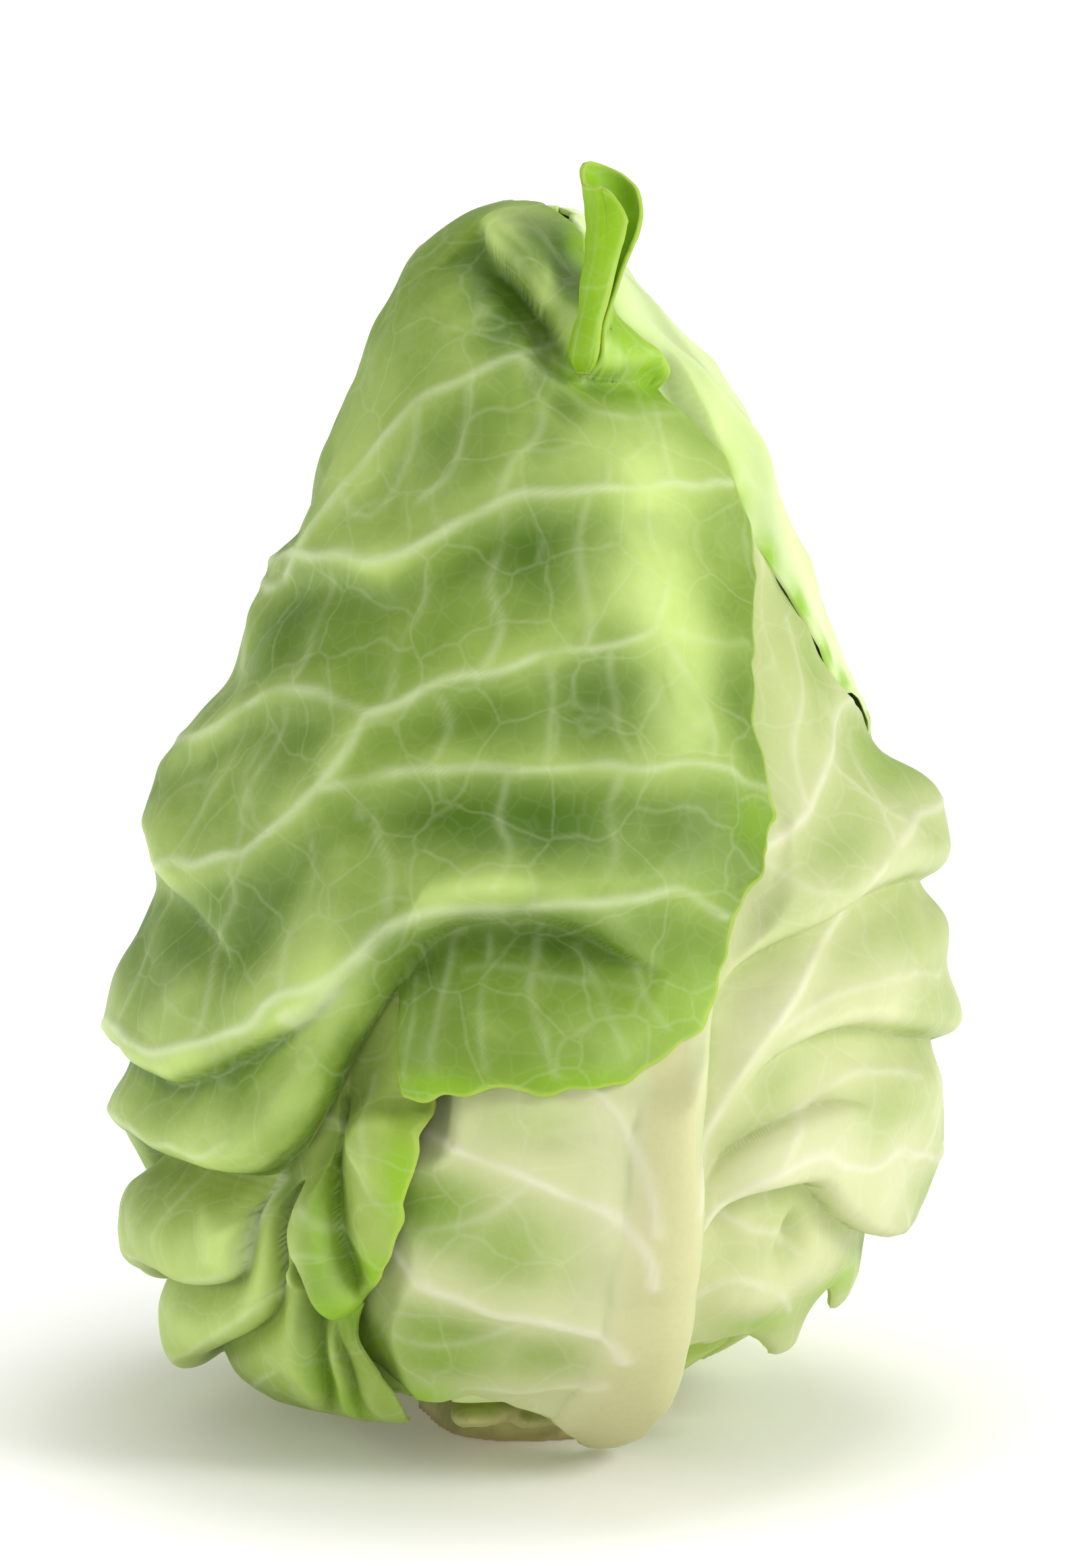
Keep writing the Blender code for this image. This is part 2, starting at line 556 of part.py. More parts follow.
def outline_grid(leaf, across, upward):
    """Azimuth and climb of every point of a leaf, spread between its four outline runs."""
    u = 1 - (1 - np.linspace(0, 1, across)) ** leaf["crowd"][0]
    v = np.linspace(0, 1, upward) ** leaf["crowd"][1]
    bottom, top = by_length(leaf["bottom"], u), by_length(leaf["top"], u)
    left, right = by_length(leaf["left"], v), by_length(leaf["right"], v)
    u, v = u[:, None, None], v[None, :, None]
    spread = (
        (1 - v) * bottom[:, None]
        + v * top[:, None]
        + (1 - u) * left[None]
        + u * right[None]
        - (1 - u) * (1 - v) * bottom[0]
        - u * (1 - v) * bottom[-1]
        - (1 - u) * v * top[0]
        - u * v * top[-1]
    )
    return spread[..., 0], spread[..., 1]


def along_line(points, line):
    """For each point near a line on the skin: its signed distance, left of the travel positive, and
    the line's strength there."""
    curve = through(line)
    placed, normals = skin_frame(curve[:, 0], curve[:, 1])
    near = np.all((points > placed.min(axis=0) - REACH) & (points < placed.max(axis=0) + REACH), axis=-1)
    asked = points[near]
    best = np.full(len(asked), np.inf)
    side, strength = np.ones(len(asked)), np.zeros(len(asked))
    for k in range(len(placed) - 1):
        run = placed[k + 1] - placed[k]
        share = np.clip((asked - placed[k]) @ run / (run @ run), 0, 1)
        away = asked - placed[k] - share[:, None] * run
        distance = (away**2).sum(axis=1)
        closer = distance < best
        best[closer] = distance[closer]
        leftward = np.cross(normals[k], run)
        side[closer] = np.where(away[closer] @ leftward >= 0, 1.0, -1.0)
        strength[closer] = (curve[k, 2] + share * (curve[k + 1, 2] - curve[k, 2]))[closer]
    distance, power = np.full(points.shape[:-1], 1e3), np.zeros(points.shape[:-1])
    distance[near] = np.sqrt(best) * side
    power[near] = np.maximum(strength, 0)
    return distance, power


def fold_height(distance, fold):
    """A rolled lip over a crease: a quarter round up from the crease, then a long fall."""
    inside = np.clip(distance / fold["lip"], 0, 1)
    round_up = np.sqrt(1 - (1 - inside) ** 2)
    past = np.maximum(distance - fold["lip"], 0) / fold["above"]
    raised = -fold["sink"] + (fold["sink"] + fold["rise"] * np.exp(-(past**2))) * round_up
    sunk = -fold["sink"] * np.exp(-((distance / fold["below"]) ** 2))
    return np.where(distance >= 0, raised, sunk)


def pleat_height(distance, pleat):
    """A soft crest with a quick fall on its lower side and a slow rise after it."""
    if pleat.get("flip"):
        distance = -distance
    upper = pleat["rise"] * np.exp(-((distance / pleat["above"]) ** 2))
    lower = (pleat["rise"] + pleat["sink"]) * np.exp(-((distance / pleat["step"]) ** 2)) - pleat[
        "sink"
    ] * np.exp(-((distance / pleat["below"]) ** 2))
    return np.where(distance >= 0, upper, lower)


def leaf_height(leaf, azimuth, climb):
    """How far the leaf stands off the skin, in millimetres, before the layers over it press it in."""
    points = skin_point(azimuth, climb)
    height = np.full(azimuth.shape, float(leaf["lift"]))
    for fold in leaf["folds"]:
        distance, strength = along_line(points, fold["line"])
        height += strength * fold_height(distance, fold)
    for pleat in leaf["pleats"]:
        distance, strength = along_line(points, pleat["line"])
        height += strength * pleat_height(distance, pleat)
    for dent_azimuth, dent_climb, depth, wide, tall in leaf["dents"]:
        centre, _ = skin_frame(dent_azimuth, dent_climb)
        flat = points - centre
        across = np.array([math.cos(math.radians(dent_azimuth)), math.sin(math.radians(dent_azimuth)), 0])
        sideways = flat @ across
        rest = np.sqrt(np.maximum((flat**2).sum(axis=-1) - sideways**2, 0))
        height += depth * np.exp(-((sideways / wide) ** 2) - (rest / tall) ** 2)
    return height


def read_map(chart, azimuth, climb):
    """A value of the chart at each place, between its cells."""
    column = np.mod(azimuth, 360) / 360 * MAP_AZIMUTHS
    row = np.clip(climb / 100 * (MAP_CLIMBS - 1), 0, MAP_CLIMBS - 1.001)
    c, r = np.floor(column).astype(int), np.floor(row).astype(int)
    s, t = column - c, row - r
    c, d = c % MAP_AZIMUTHS, (c + 1) % MAP_AZIMUTHS
    low = chart[r, c] * (1 - s) + chart[r, d] * s
    high = chart[r + 1, c] * (1 - s) + chart[r + 1, d] * s
    return low * (1 - t) + high * t


def shifted(chart, axis, reach):
    """The chart moved each way along an axis: round and round in azimuth, held at the ends in climb."""
    if axis == 1:
        return [np.roll(chart, k, axis=1) for k in range(-reach, reach + 1)]
    rows = np.arange(len(chart))
    return [chart[np.clip(rows + k, 0, len(chart) - 1)] for k in range(-reach, reach + 1)]


def pressed(height, ceiling):
    """The lower of two heights, with a soft change from one to the other."""
    return -PRESS_SOFTNESS * np.logaddexp(-height / PRESS_SOFTNESS, -ceiling / PRESS_SOFTNESS)


def lower_ceiling(ceiling, azimuth, climb, height):
    """The chart of room left under a leaf, with a margin round it that fades to open sky."""
    chart = np.full((MAP_CLIMBS, MAP_AZIMUTHS), OPEN_SKY)
    row = np.clip(np.rint(climb / 100 * (MAP_CLIMBS - 1)).astype(int), 0, MAP_CLIMBS - 1)
    column = np.rint(np.mod(azimuth, 360)).astype(int) % MAP_AZIMUTHS
    np.minimum.at(chart, (row, column), height)
    chart -= LAYER_STEP
    for axis in (0, 1):
        chart = np.minimum.reduce(shifted(chart, axis, MAP_SPREAD))
    for axis in (0, 1, 0, 1):
        chart = np.mean(shifted(chart, axis, MAP_SOFTEN), axis=0)
    return np.minimum(ceiling, chart)


def leaf_surface(leaf, ceiling, across, upward):
    """The leaf's outer face as a grid of points, with the places and heights that they came from."""
    azimuth, climb = outline_grid(leaf, across, upward)
    height = pressed(leaf_height(leaf, azimuth, climb), read_map(ceiling, azimuth, climb))
    placed, normal = skin_frame(azimuth, climb)
    return placed + normal * height[..., None], azimuth, climb, height


def sheet_object(name, points, thickness, material):
    """A sheet over a grid of points, split into triangles and thickened inwards."""
    across, upward = points.shape[:2]
    mesh = bpy.data.meshes.new(name)
    shape = bmesh.new()
    bmesh.ops.create_grid(shape, x_segments=across - 1, y_segments=upward - 1, size=0.5)
    for vertex in shape.verts:
        i = round((vertex.co.x + 0.5) * (across - 1))
        j = round((vertex.co.y + 0.5) * (upward - 1))
        vertex.co = points[i, j] * MM
    bmesh.ops.triangulate(shape, faces=shape.faces[:])
    shape.to_mesh(mesh)
    shape.free()
    mesh.shade_smooth()
    obj = bpy.data.objects.new(name, mesh)
    solidify = obj.modifiers.new("thickness", "SOLIDIFY")
    solidify.thickness = thickness * MM
    solidify.offset = -1.0
    mesh.materials.append(material)
    return obj


def rolled_tip_points(around, upward):
    """The rolled tip as a grid: round its spiral section, then up its spine."""
    turn = np.linspace(TIP_SEAM, TIP_END, around)[:, None]
    opened = np.clip((TIP_FLARE_START - turn) / (TIP_FLARE_START - TIP_END), 0, 1)
    opened = np.maximum(opened, 0.6 * np.clip(turn / TIP_SEAM, 0, 1))
    rim = hermite(turn, *np.array(TIP_RIM, float).T)
    share = np.linspace(0, 1, upward) * rim
    knots = np.linspace(0, 1, len(TIP_SPINE))
    spine = np.stack([hermite(share, knots, np.array(TIP_SPINE)[:, k]) for k in range(3)], axis=-1)
    radius = hermite(share, knots, np.array(TIP_RADIUS, float))
    flare = np.maximum(hermite(share, knots, np.array(TIP_FLARE, float)), 0)
    reach = radius + flare * opened
    angle = np.radians(turn)
    hood = np.maximum(share - 0.8, 0)[..., None] ** 2 / 0.04 * np.array(TIP_HOOD)
    wound = np.stack([reach * np.sin(angle), -reach * np.cos(angle), np.zeros(reach.shape)], axis=-1)
    return spine + wound + hood


def link(collection, obj):
    collection.objects.link(obj)
    return obj


def joined(name, pieces, collection, material):
    """One closed body from several that sink into each other."""
    body, others = pieces[0], pieces[1:]
    helpers = bpy.data.collections.new(name + "_pieces")
    bpy.context.scene.collection.children.link(helpers)
    for piece in others:
        helpers.objects.link(piece)
    collection.objects.link(body)
    union = body.modifiers.new("union", "BOOLEAN")
    union.operation = "UNION"
    union.operand_type = "COLLECTION"
    union.collection = helpers
    union.solver = "EXACT"
    bpy.context.view_layer.update()
    graph = bpy.context.evaluated_depsgraph_get()
    mesh = bpy.data.meshes.new_from_object(body.evaluated_get(graph))
    for piece in pieces:
        bpy.data.objects.remove(piece)
    bpy.data.collections.remove(helpers)
    mesh.materials.clear()
    mesh.materials.append(material)
    return link(collection, bpy.data.objects.new(name, mesh))


def heart_object(name, ceiling, material):
    """The tight heart: it fills the wrapper leaves, and its own leaf edges stand out in low steps."""
    across, upward = HEART_GRID
    azimuth = np.linspace(0, 360, across, endpoint=False)[:, None] + np.zeros(upward)
    climb = np.zeros((across, 1)) + np.linspace(*HEART_SPAN, upward)
    winding = np.mod(HEART_LEAVES * azimuth / 360 + climb / 40, 1)
    room = read_map(ceiling, azimuth, climb)
    inset = np.maximum(HEART_GAP - room, 2 * LAYER_STEP) + HEART_RELIEF * winding
    points, normal = skin_frame(azimuth, climb)
    reach = np.hypot(points[..., 0], points[..., 1])
    inset /= np.hypot(normal[..., 0], normal[..., 1])
    points[..., :2] *= (np.maximum(reach - inset, HEART_LEAST) / reach)[..., None]
    mesh = bpy.data.meshes.new(name)
    shape = bmesh.new()
    rings = [[shape.verts.new(points[i, j] * MM) for i in range(across)] for j in range(upward)]
    for lower, upper in zip(rings, rings[1:]):
        for i in range(across):
            k = (i + 1) % across
            shape.faces.new((lower[i], lower[k], upper[k], upper[i]))
    shape.faces.new(rings[0][::-1])
    shape.faces.new(rings[-1])
    bmesh.ops.recalc_face_normals(shape, faces=shape.faces[:])
    bmesh.ops.triangulate(shape, faces=shape.faces[:])
    shape.to_mesh(mesh)
    shape.free()
    mesh.shade_smooth()
    mesh.materials.append(material)
    return bpy.data.objects.new(name, mesh)


def stalk_object(name, collection, material):
    """The cut stalk with its stubs, flat on the origin's plane."""
    mesh = bpy.data.meshes.new(name)
    shape = bmesh.new()
    bmesh.ops.create_cone(
        shape,
        cap_ends=True,
        segments=STALK_SIDES,
        radius1=STALK_RADIUS * MM,
        radius2=0.72 * STALK_RADIUS * MM,
        depth=STALK_HEIGHT * MM,
    )
    for vertex in shape.verts:
        turn = math.atan2(vertex.co.y, vertex.co.x)
        swell = 1 + STALK_OVAL * math.sin(3 * turn + 0.7) + STALK_OVAL / 2 * math.sin(5 * turn)
        vertex.co.x = vertex.co.x * swell + STALK_CENTRE[0] * MM
        vertex.co.y = vertex.co.y * swell + STALK_CENTRE[1] * MM
        vertex.co.z += STALK_HEIGHT / 2 * MM
    shape.to_mesh(mesh)
    shape.free()
    pieces = [bpy.data.objects.new(name + "_cut", mesh)]
    root = Vector((*STALK_CENTRE, STUB_ROOT_HEIGHT))
    for number, (azimuth, climb, wide, tall) in enumerate(STUBS):
        end = Vector(skin_point(np.float64(azimuth), np.float64(climb)).tolist())
        along = end - root
        half_length = (along.length - STUB_INSET) / 2
        along.normalize()
        aside = Vector((-along.y, along.x, 0)).normalized()
        over = along.cross(aside)
        middle = root + along * half_length
        stub = bpy.data.meshes.new(name + "_stub")
        shape = bmesh.new()
        bmesh.ops.create_uvsphere(shape, u_segments=STUB_SIDES, v_segments=STUB_SIDES // 2 + 1, radius=1.0)
        for vertex in shape.verts:
            local = vertex.co
            placed = middle + along * local.x * half_length + aside * local.y * wide + over * local.z * tall
            vertex.co = placed * MM
        shape.to_mesh(stub)
        shape.free()
        pieces.append(bpy.data.objects.new(f"{name}_stub_{number}", stub))
    return joined(name, pieces, collection, material)


def main():
    clear_scene()
    collection = bpy.data.collections.new("cabbage_head")
    bpy.context.scene.collection.children.link(collection)
    green = matte("leaf_green", LEAF_GREEN, 0.42)
    pale = matte("leaf_pale", PALE_GREEN, 0.42)
    yellow = matte("heart_yellow", HEART_YELLOW, 0.45)
    cream = matte("stalk_cream", STALK_CREAM, 0.6)

    ceiling = np.full((MAP_CLIMBS, MAP_AZIMUTHS), OPEN_SKY)
    for name, leaf, material in (
        ("front_leaf", FRONT_LEAF, green),
        ("side_leaf", SIDE_LEAF, pale),
        ("low_leaf", LOW_LEAF, green),
        ("rib_leaf", RIB_LEAF, pale),
    ):
        points, _, _, _ = leaf_surface(leaf, ceiling, *leaf["grid"])
        sheet = sheet_object(name, points, LEAF_THICKNESS, material)
        if name == "front_leaf":
            tip = sheet_object("rolled_tip", rolled_tip_points(*TIP_GRID), TIP_THICKNESS, material)
            sheet.name = "front_blade"
            joined(name, [sheet, tip], collection, material)
        else:
            link(collection, sheet)
        _, azimuth, climb, height = leaf_surface(leaf, ceiling, 2 * MAP_AZIMUTHS, MAP_CLIMBS)
        ceiling = lower_ceiling(ceiling, azimuth, climb, height)
    link(collection, heart_object("heart", ceiling, yellow))
    stalk_object("stalk", collection, cream)


main()
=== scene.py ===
"""A pointed cabbage head standing on its cut stalk, in soft studio light.

Each leaf is a sheet laid on one smooth skin. A place on that skin is an azimuth in degrees, 0 at the
front and positive to the right (+X), and a climb, 0 at the stalk's rim and 100 at the tip of the head.
Lengths are named in millimetres and turned into metres where a mesh is made.
"""

import math

import bmesh
import bpy
import numpy as np
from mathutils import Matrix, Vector, noise
from mathutils.kdtree import KDTree


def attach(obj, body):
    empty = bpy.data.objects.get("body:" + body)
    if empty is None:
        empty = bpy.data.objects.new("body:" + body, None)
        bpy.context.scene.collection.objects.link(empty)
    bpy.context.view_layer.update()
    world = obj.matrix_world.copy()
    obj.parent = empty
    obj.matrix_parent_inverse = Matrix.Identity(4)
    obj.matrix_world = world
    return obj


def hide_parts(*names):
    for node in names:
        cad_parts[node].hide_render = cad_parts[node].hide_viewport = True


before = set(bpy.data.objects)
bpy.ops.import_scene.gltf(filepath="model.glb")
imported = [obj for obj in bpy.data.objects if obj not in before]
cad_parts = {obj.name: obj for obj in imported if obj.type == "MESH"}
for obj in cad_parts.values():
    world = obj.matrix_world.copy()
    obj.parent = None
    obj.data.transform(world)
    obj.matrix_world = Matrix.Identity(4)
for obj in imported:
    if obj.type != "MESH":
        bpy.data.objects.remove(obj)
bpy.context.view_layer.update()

bl_info = {
    "name": "Pointed cabbage",
    "version": (1, 0, 0),
    "blender": (4, 5, 0),
    "location": "3D View > Sidebar > Cabbage",
    "description": "Dresses the leaves, heart and stalk of a pointed cabbage head",
    "category": "Object",
}

MM = 0.001
BODY = "root"

# The head's own size: skin rings as height, then the reach to the left, front, right and back.
SKIN_RINGS = (
    (2, 25, 25, 24, 25), (4.5, 38, 35, 26, 37), (10, 55, 48, 31, 50), (20, 66, 59, 47, 60),
    (36, 70, 67, 61, 66), (55, 71, 70, 67, 67), (75, 69, 68, 67, 66), (95, 65, 64, 65, 62),
    (112, 60, 58, 56, 57), (130, 51, 51, 47, 50), (150, 42, 43, 38, 42), (170, 33, 34, 31, 33),
    (186, 27, 26, 18.5, 25), (196, 22, 20, 9, 19), (202, 13, 12, 4.5, 12), (204.5, 0.6, 0.6, 0.6, 0.6),
)

# Room between one leaf's outer face and the next leaf's, and how far from its line a fold is felt.
LAYER_STEP = 1.7
REACH = 45.0
CURVE_STEPS = 4

# Map of the skin on which each layer leaves room for the next: cells of one degree by half a climb.
MAP_AZIMUTHS = 360
MAP_CLIMBS = 201
MAP_SPREAD = 4
MAP_SOFTEN = 2
OPEN_SKY = 10.0
PRESS_SOFTNESS = 0.5


def fold(rise, sink, lip, above, below, *line):
    """A rolled lip over a crease: its heights, the lip's width, and its reach on the two sides."""
    return {"rise": rise, "sink": sink, "lip": lip, "above": above, "below": below, "line": line}


def pleat(rise, sink, above, step, below, *line, flip=False):
    """A soft crest: its heights, and the reach of the slow side, the quick fall and the hollow past it."""
    reach = {"above": above, "step": step, "below": below}
    return {"rise": rise, "sink": sink, "line": line, "flip": flip, **reach}


# A leaf's outline is four runs of (azimuth, climb): bottom and top from left to right, sides upwards.
# "crowd" over 1 draws its grid to the right and the bottom, and "lift" is its plain height off the skin.
# A fold or pleat line is (azimuth, climb, strength), and its raised side is on the left of its travel.
# A dent or bump is (azimuth, climb, height, half width, half height).
FRONT_LEAF = {
    "crowd": (1.25, 1.2),
    "lift": 1.2,
    "bottom": (
        (-178, 14), (-166, 8), (-150, 4.5), (-128, 3.5), (-118, 6), (-112, 13), (-106, 20), (-98, 24.5),
        (-88, 27), (-75, 28.2), (-60, 28.3), (-48, 28.5), (-42, 29.2), (-37, 31), (-33, 34), (-30, 38),
        (-26, 41.3), (-24, 42.4), (-22.6, 40.5), (-21, 37.5), (-19.8, 35.8), (-14, 35.9), (-8, 36.5),
        (0, 36.3), (8, 36.6), (13, 37.8), (17, 39), (20.5, 40.2),
    ),
    "right": (
        (20.5, 40.2), (23, 42), (26, 45), (28, 47.5), (33, 50), (38, 53), (39.5, 57), (40, 60), (43, 63),
        (47.5, 67), (52, 70), (54.5, 73), (52.5, 76), (50.4, 78.8), (49.2, 81.2), (47, 83.2), (37, 84.9),
        (28.6, 86.8), (22.6, 88.8), (20.6, 91.4), (24, 94.6),
    ),
    "top": ((-193, 94), (-160, 97), (-100, 98.6), (-50, 99), (-14, 98.9), (10, 97.8), (24, 94.6)),
    "left": ((-178, 14), (-188, 30), (-193, 50), (-195, 70), (-196, 84), (-193, 94)),
    "folds": (
        # The arch over the hollow runs down to the left into the long rolled lip.
        fold(2.6, 6, 5, 11, 11, (-118, 6, 0), (-112, 13, 0.5), (-106, 20.2, 0.8), (-98, 24.8, 1),
            (-88, 27.3, 1), (-75, 28.5, 1), (-60, 28.6, 1), (-48, 28.8, 1), (-42, 29.5, 1),
            (-37, 31.3, 1), (-33, 34.3, 1), (-30, 38.3, 1), (-26, 41.5, 1), (-22, 44, 1.05),
            (-18, 46.2, 1.15), (-12, 47.5, 1.25), (-5, 47.7, 1.25), (0, 47.5, 1.2), (5, 46.7, 1),
            (9, 45.5, 0.7), (13, 44.4, 0.3), (16, 43.6, 0)),
        fold(2.8, 3.2, 5, 12, 7, (-125, 24, 0), (-112, 28, 0.6), (-100, 31.3, 0.9), (-90, 33, 1),
            (-80, 34.1, 1), (-70, 34, 1), (-60, 34, 1), (-55, 34.7, 1), (-48, 36.3, 1), (-40, 38.4, 1),
            (-34, 40.3, 1), (-31, 41.8, 0.9), (-28, 43.4, 0.6), (-24, 45.6, 0.3), (-20, 47.2, 0)),
        fold(1.6, 2.2, 4, 9, 8, (-120, 45, 0), (-105, 46.5, 0.6), (-92, 47.6, 0.9), (-82, 48, 1),
            (-74, 47, 1), (-68, 45.9, 1), (-60, 45, 0.8), (-53, 44, 0.5), (-48, 42.6, 0.2),
            (-45, 41.4, 0)),
        # The rolled crest that comes down to the tip, and on as the lower edge of the turned-over corner.
        fold(3, 4.2, 2.4, 5.5, 7, (-52, 95.2, 0), (-44, 94.9, 0.4), (-36, 94.1, 0.8), (-28, 93.1, 1.1),
            (-19.5, 92, 1.2), (-13, 90.9, 1.25), (-7, 89.5, 1.25), (-1, 87.9, 1.2), (2.4, 86.4, 1.1),
            (5.4, 85, 1), (9, 84.3, 0.9), (13, 84, 0.8), (18, 83.9, 0.8), (24.5, 84, 0.8),
            (34.5, 84, 0.8), (44, 83.6, 0.8), (56, 83, 0.8)),
    ),
    "pleats": (
        # The soft ridge down the front, and the short one that carries the rolled tip.
        pleat(2, 0, 13, 13, 13, (-45, 93, 0), (-32, 90, 0.6), (-17, 86.5, 1), (-3, 82, 1), (9, 73, 1),
            (15.5, 63.5, 1), (19, 57, 0.6), (21, 51, 0)),
        pleat(4, 0, 3.6, 3, 3, (7, 83.9, 0), (8.4, 85.4, 0.8), (11, 87.4, 1), (14.5, 89.4, 1),
            (17, 91, 0.6), (18, 93, 0)),
        pleat(1.5, 1.7, 10, 4, 10, (-115, 45, 0), (-95, 46.8, 0.6), (-75, 47.3, 1), (-60, 48, 1),
            (-50, 49.5, 1), (-44, 52, 1), (-38, 56, 1), (-34, 59.5, 1), (-30, 61, 1), (-20, 63.2, 1),
            (-10, 64.5, 1), (0, 65.2, 1), (12, 65.6, 1), (19, 66.5, 0.7), (30, 66, 0.4), (44, 64.8, 0)),
        pleat(1.5, 2, 9, 4, 9, (-130, 65, 0), (-100, 68.2, 0.35), (-80, 69.2, 0.6), (-65, 70, 0.9),
            (-50, 70.7, 1.2), (-40, 70.6, 1.3), (-33, 71, 1.2), (-27, 72.3, 1), (-20, 73.8, 1),
            (-10, 75, 1), (0, 75.4, 1), (20, 76, 0.6), (35, 76, 0.3), (50, 75.8, 0)),
        pleat(1, 1.4, 10, 4.5, 11, (-75, 69.5, 0), (-66, 71, 0.6), (-60, 73, 1), (-50, 77.3, 1),
            (-40, 80.5, 1), (-35, 82, 1), (-25, 84, 1), (-15, 85, 1), (-7, 84.6, 1), (5, 83, 0.6),
            (12, 81.8, 0.3), (24, 80.8, 0)),
        pleat(1.5, 1.7, 9, 4, 9, (-38, 55, 0), (-34, 55.8, 0.7), (-30, 56.3, 1), (-20, 57.2, 1),
            (-10, 57.6, 1), (0, 57.5, 1), (15, 57.2, 1), (27, 57, 0.8), (33, 55.8, 0.5), (39, 55, 0)),
        pleat(1.2, 0.4, 7, 4, 6, (-25, 46.5, 0), (-20, 47.9, 0.5), (-14, 49, 1), (-8, 49.4, 1),
            (0, 49.7, 1), (10, 50, 1), (17, 50, 1), (21, 48.6, 0.6), (26, 47.6, 0)),
        pleat(1.3, 1.8, 9, 4, 8, (-125, 48, 0), (-92, 53, 0.8), (-78, 56, 1), (-70, 58, 1),
            (-62, 60.2, 1), (-55, 61, 1), (-45, 61.4, 0.8), (-37, 60.8, 0)),
        pleat(1.6, 1.6, 9, 4, 10, (-200, 40, 0), (-180, 36, 0.8), (-160, 34, 1), (-140, 35, 1),
            (-127, 39, 0)),
        pleat(1.4, 1.5, 9, 4, 9, (-190, 66, 0), (-172, 61, 0.8), (-155, 58, 1), (-140, 57.5, 1),
            (-124, 60, 0)),
        pleat(1.2, 1.4, 9, 4, 9, (-186, 82, 0), (-165, 77, 0.8), (-145, 75, 1), (-122, 76, 0)),
        pleat(3, 0.6, 6, 5, 10, (-120, 2, 0), (-121, 8, 0.8), (-122, 16, 1.5), (-124, 35, 1.3),
            (-122, 55, 1), (-118, 75, 0.7), (-108, 92, 0)),
    ),
    "dents": (
        (-57, 41, 1.6, 9, 7), (-43, 45, -1.8, 8, 6), (-12, 70, 1, 14, 8), (-30, 78, 1.2, 16, 9),
        (12, 60, -0.8, 16, 7), (-86, 60, -2, 14, 6), (-87, 64.8, 1.4, 14, 6), (-88, 51, 2.4, 14, 7),
        (24, 46, -1.4, 7, 8), (-5, 40, 1, 16, 6), (-90, 38.5, 1.8, 12, 6), (-150, 55, 1.8, 20, 18),
        (-158, 30, 2, 18, 15), (-95, 80, 1.2, 16, 14), (-155, 78, 1.4, 16, 12), (1, 91.6, -2.2, 5, 5),
        (-62, 92, -1.8, 12, 9), (-90, 71.5, -2.4, 16, 6),
    ),
}

SIDE_LEAF = {
    "crowd": (1, 1),
    "lift": 0.6,
    "bottom": ((118, 7), (124, 4.5), (135, 3.6), (152, 3.4), (172, 4.5), (190, 7)),
    "right": ((190, 7), (199, 25), (203, 50), (204, 75), (198, 92)),
    "top": ((4, 90), (12, 95), (40, 97.8), (85, 98.4), (130, 98.2), (165, 96.6), (198, 92)),
    "left": (
        (118, 7), (119, 22), (116, 38), (108, 51), (96, 57.5), (86, 59.6), (79, 61.6), (73, 66), (66, 70),
        (58, 73.6), (49, 76.5), (38, 79.5), (24, 84), (4, 90),
    ),
    "folds": (),
    "pleats": (
        pleat(3, 0.6, 6, 5, 10, (148, 2, 0), (148, 8, 0.8), (149, 18, 1.4), (150, 45, 1.1),
            (146, 70, 0.8), (125, 92, 0)),
        pleat(1.3, 1.5, 9, 4, 9, (147, 38, 0), (132, 47, 0.8), (118, 56, 1), (104, 64, 1), (88, 73, 0.8),
            (66, 82, 0)),
        pleat(1.2, 1.4, 9, 4, 9, (148, 56, 0), (130, 66, 0.8), (112, 74, 1), (92, 82, 0.8), (70, 89, 0)),
        pleat(1.5, 1.6, 9, 4, 8, (147, 20, 0), (136, 27, 0.8), (128, 34, 1), (118, 42, 0.6), (112, 48, 0)),
    ),
    "dents": (
        (72, 77, 1.2, 12, 9), (60, 84, 1, 10, 8), (95, 68, 1, 14, 9), (130, 82, 1, 12, 9),
        (170, 40, 1.6, 16, 18),
    ),
}

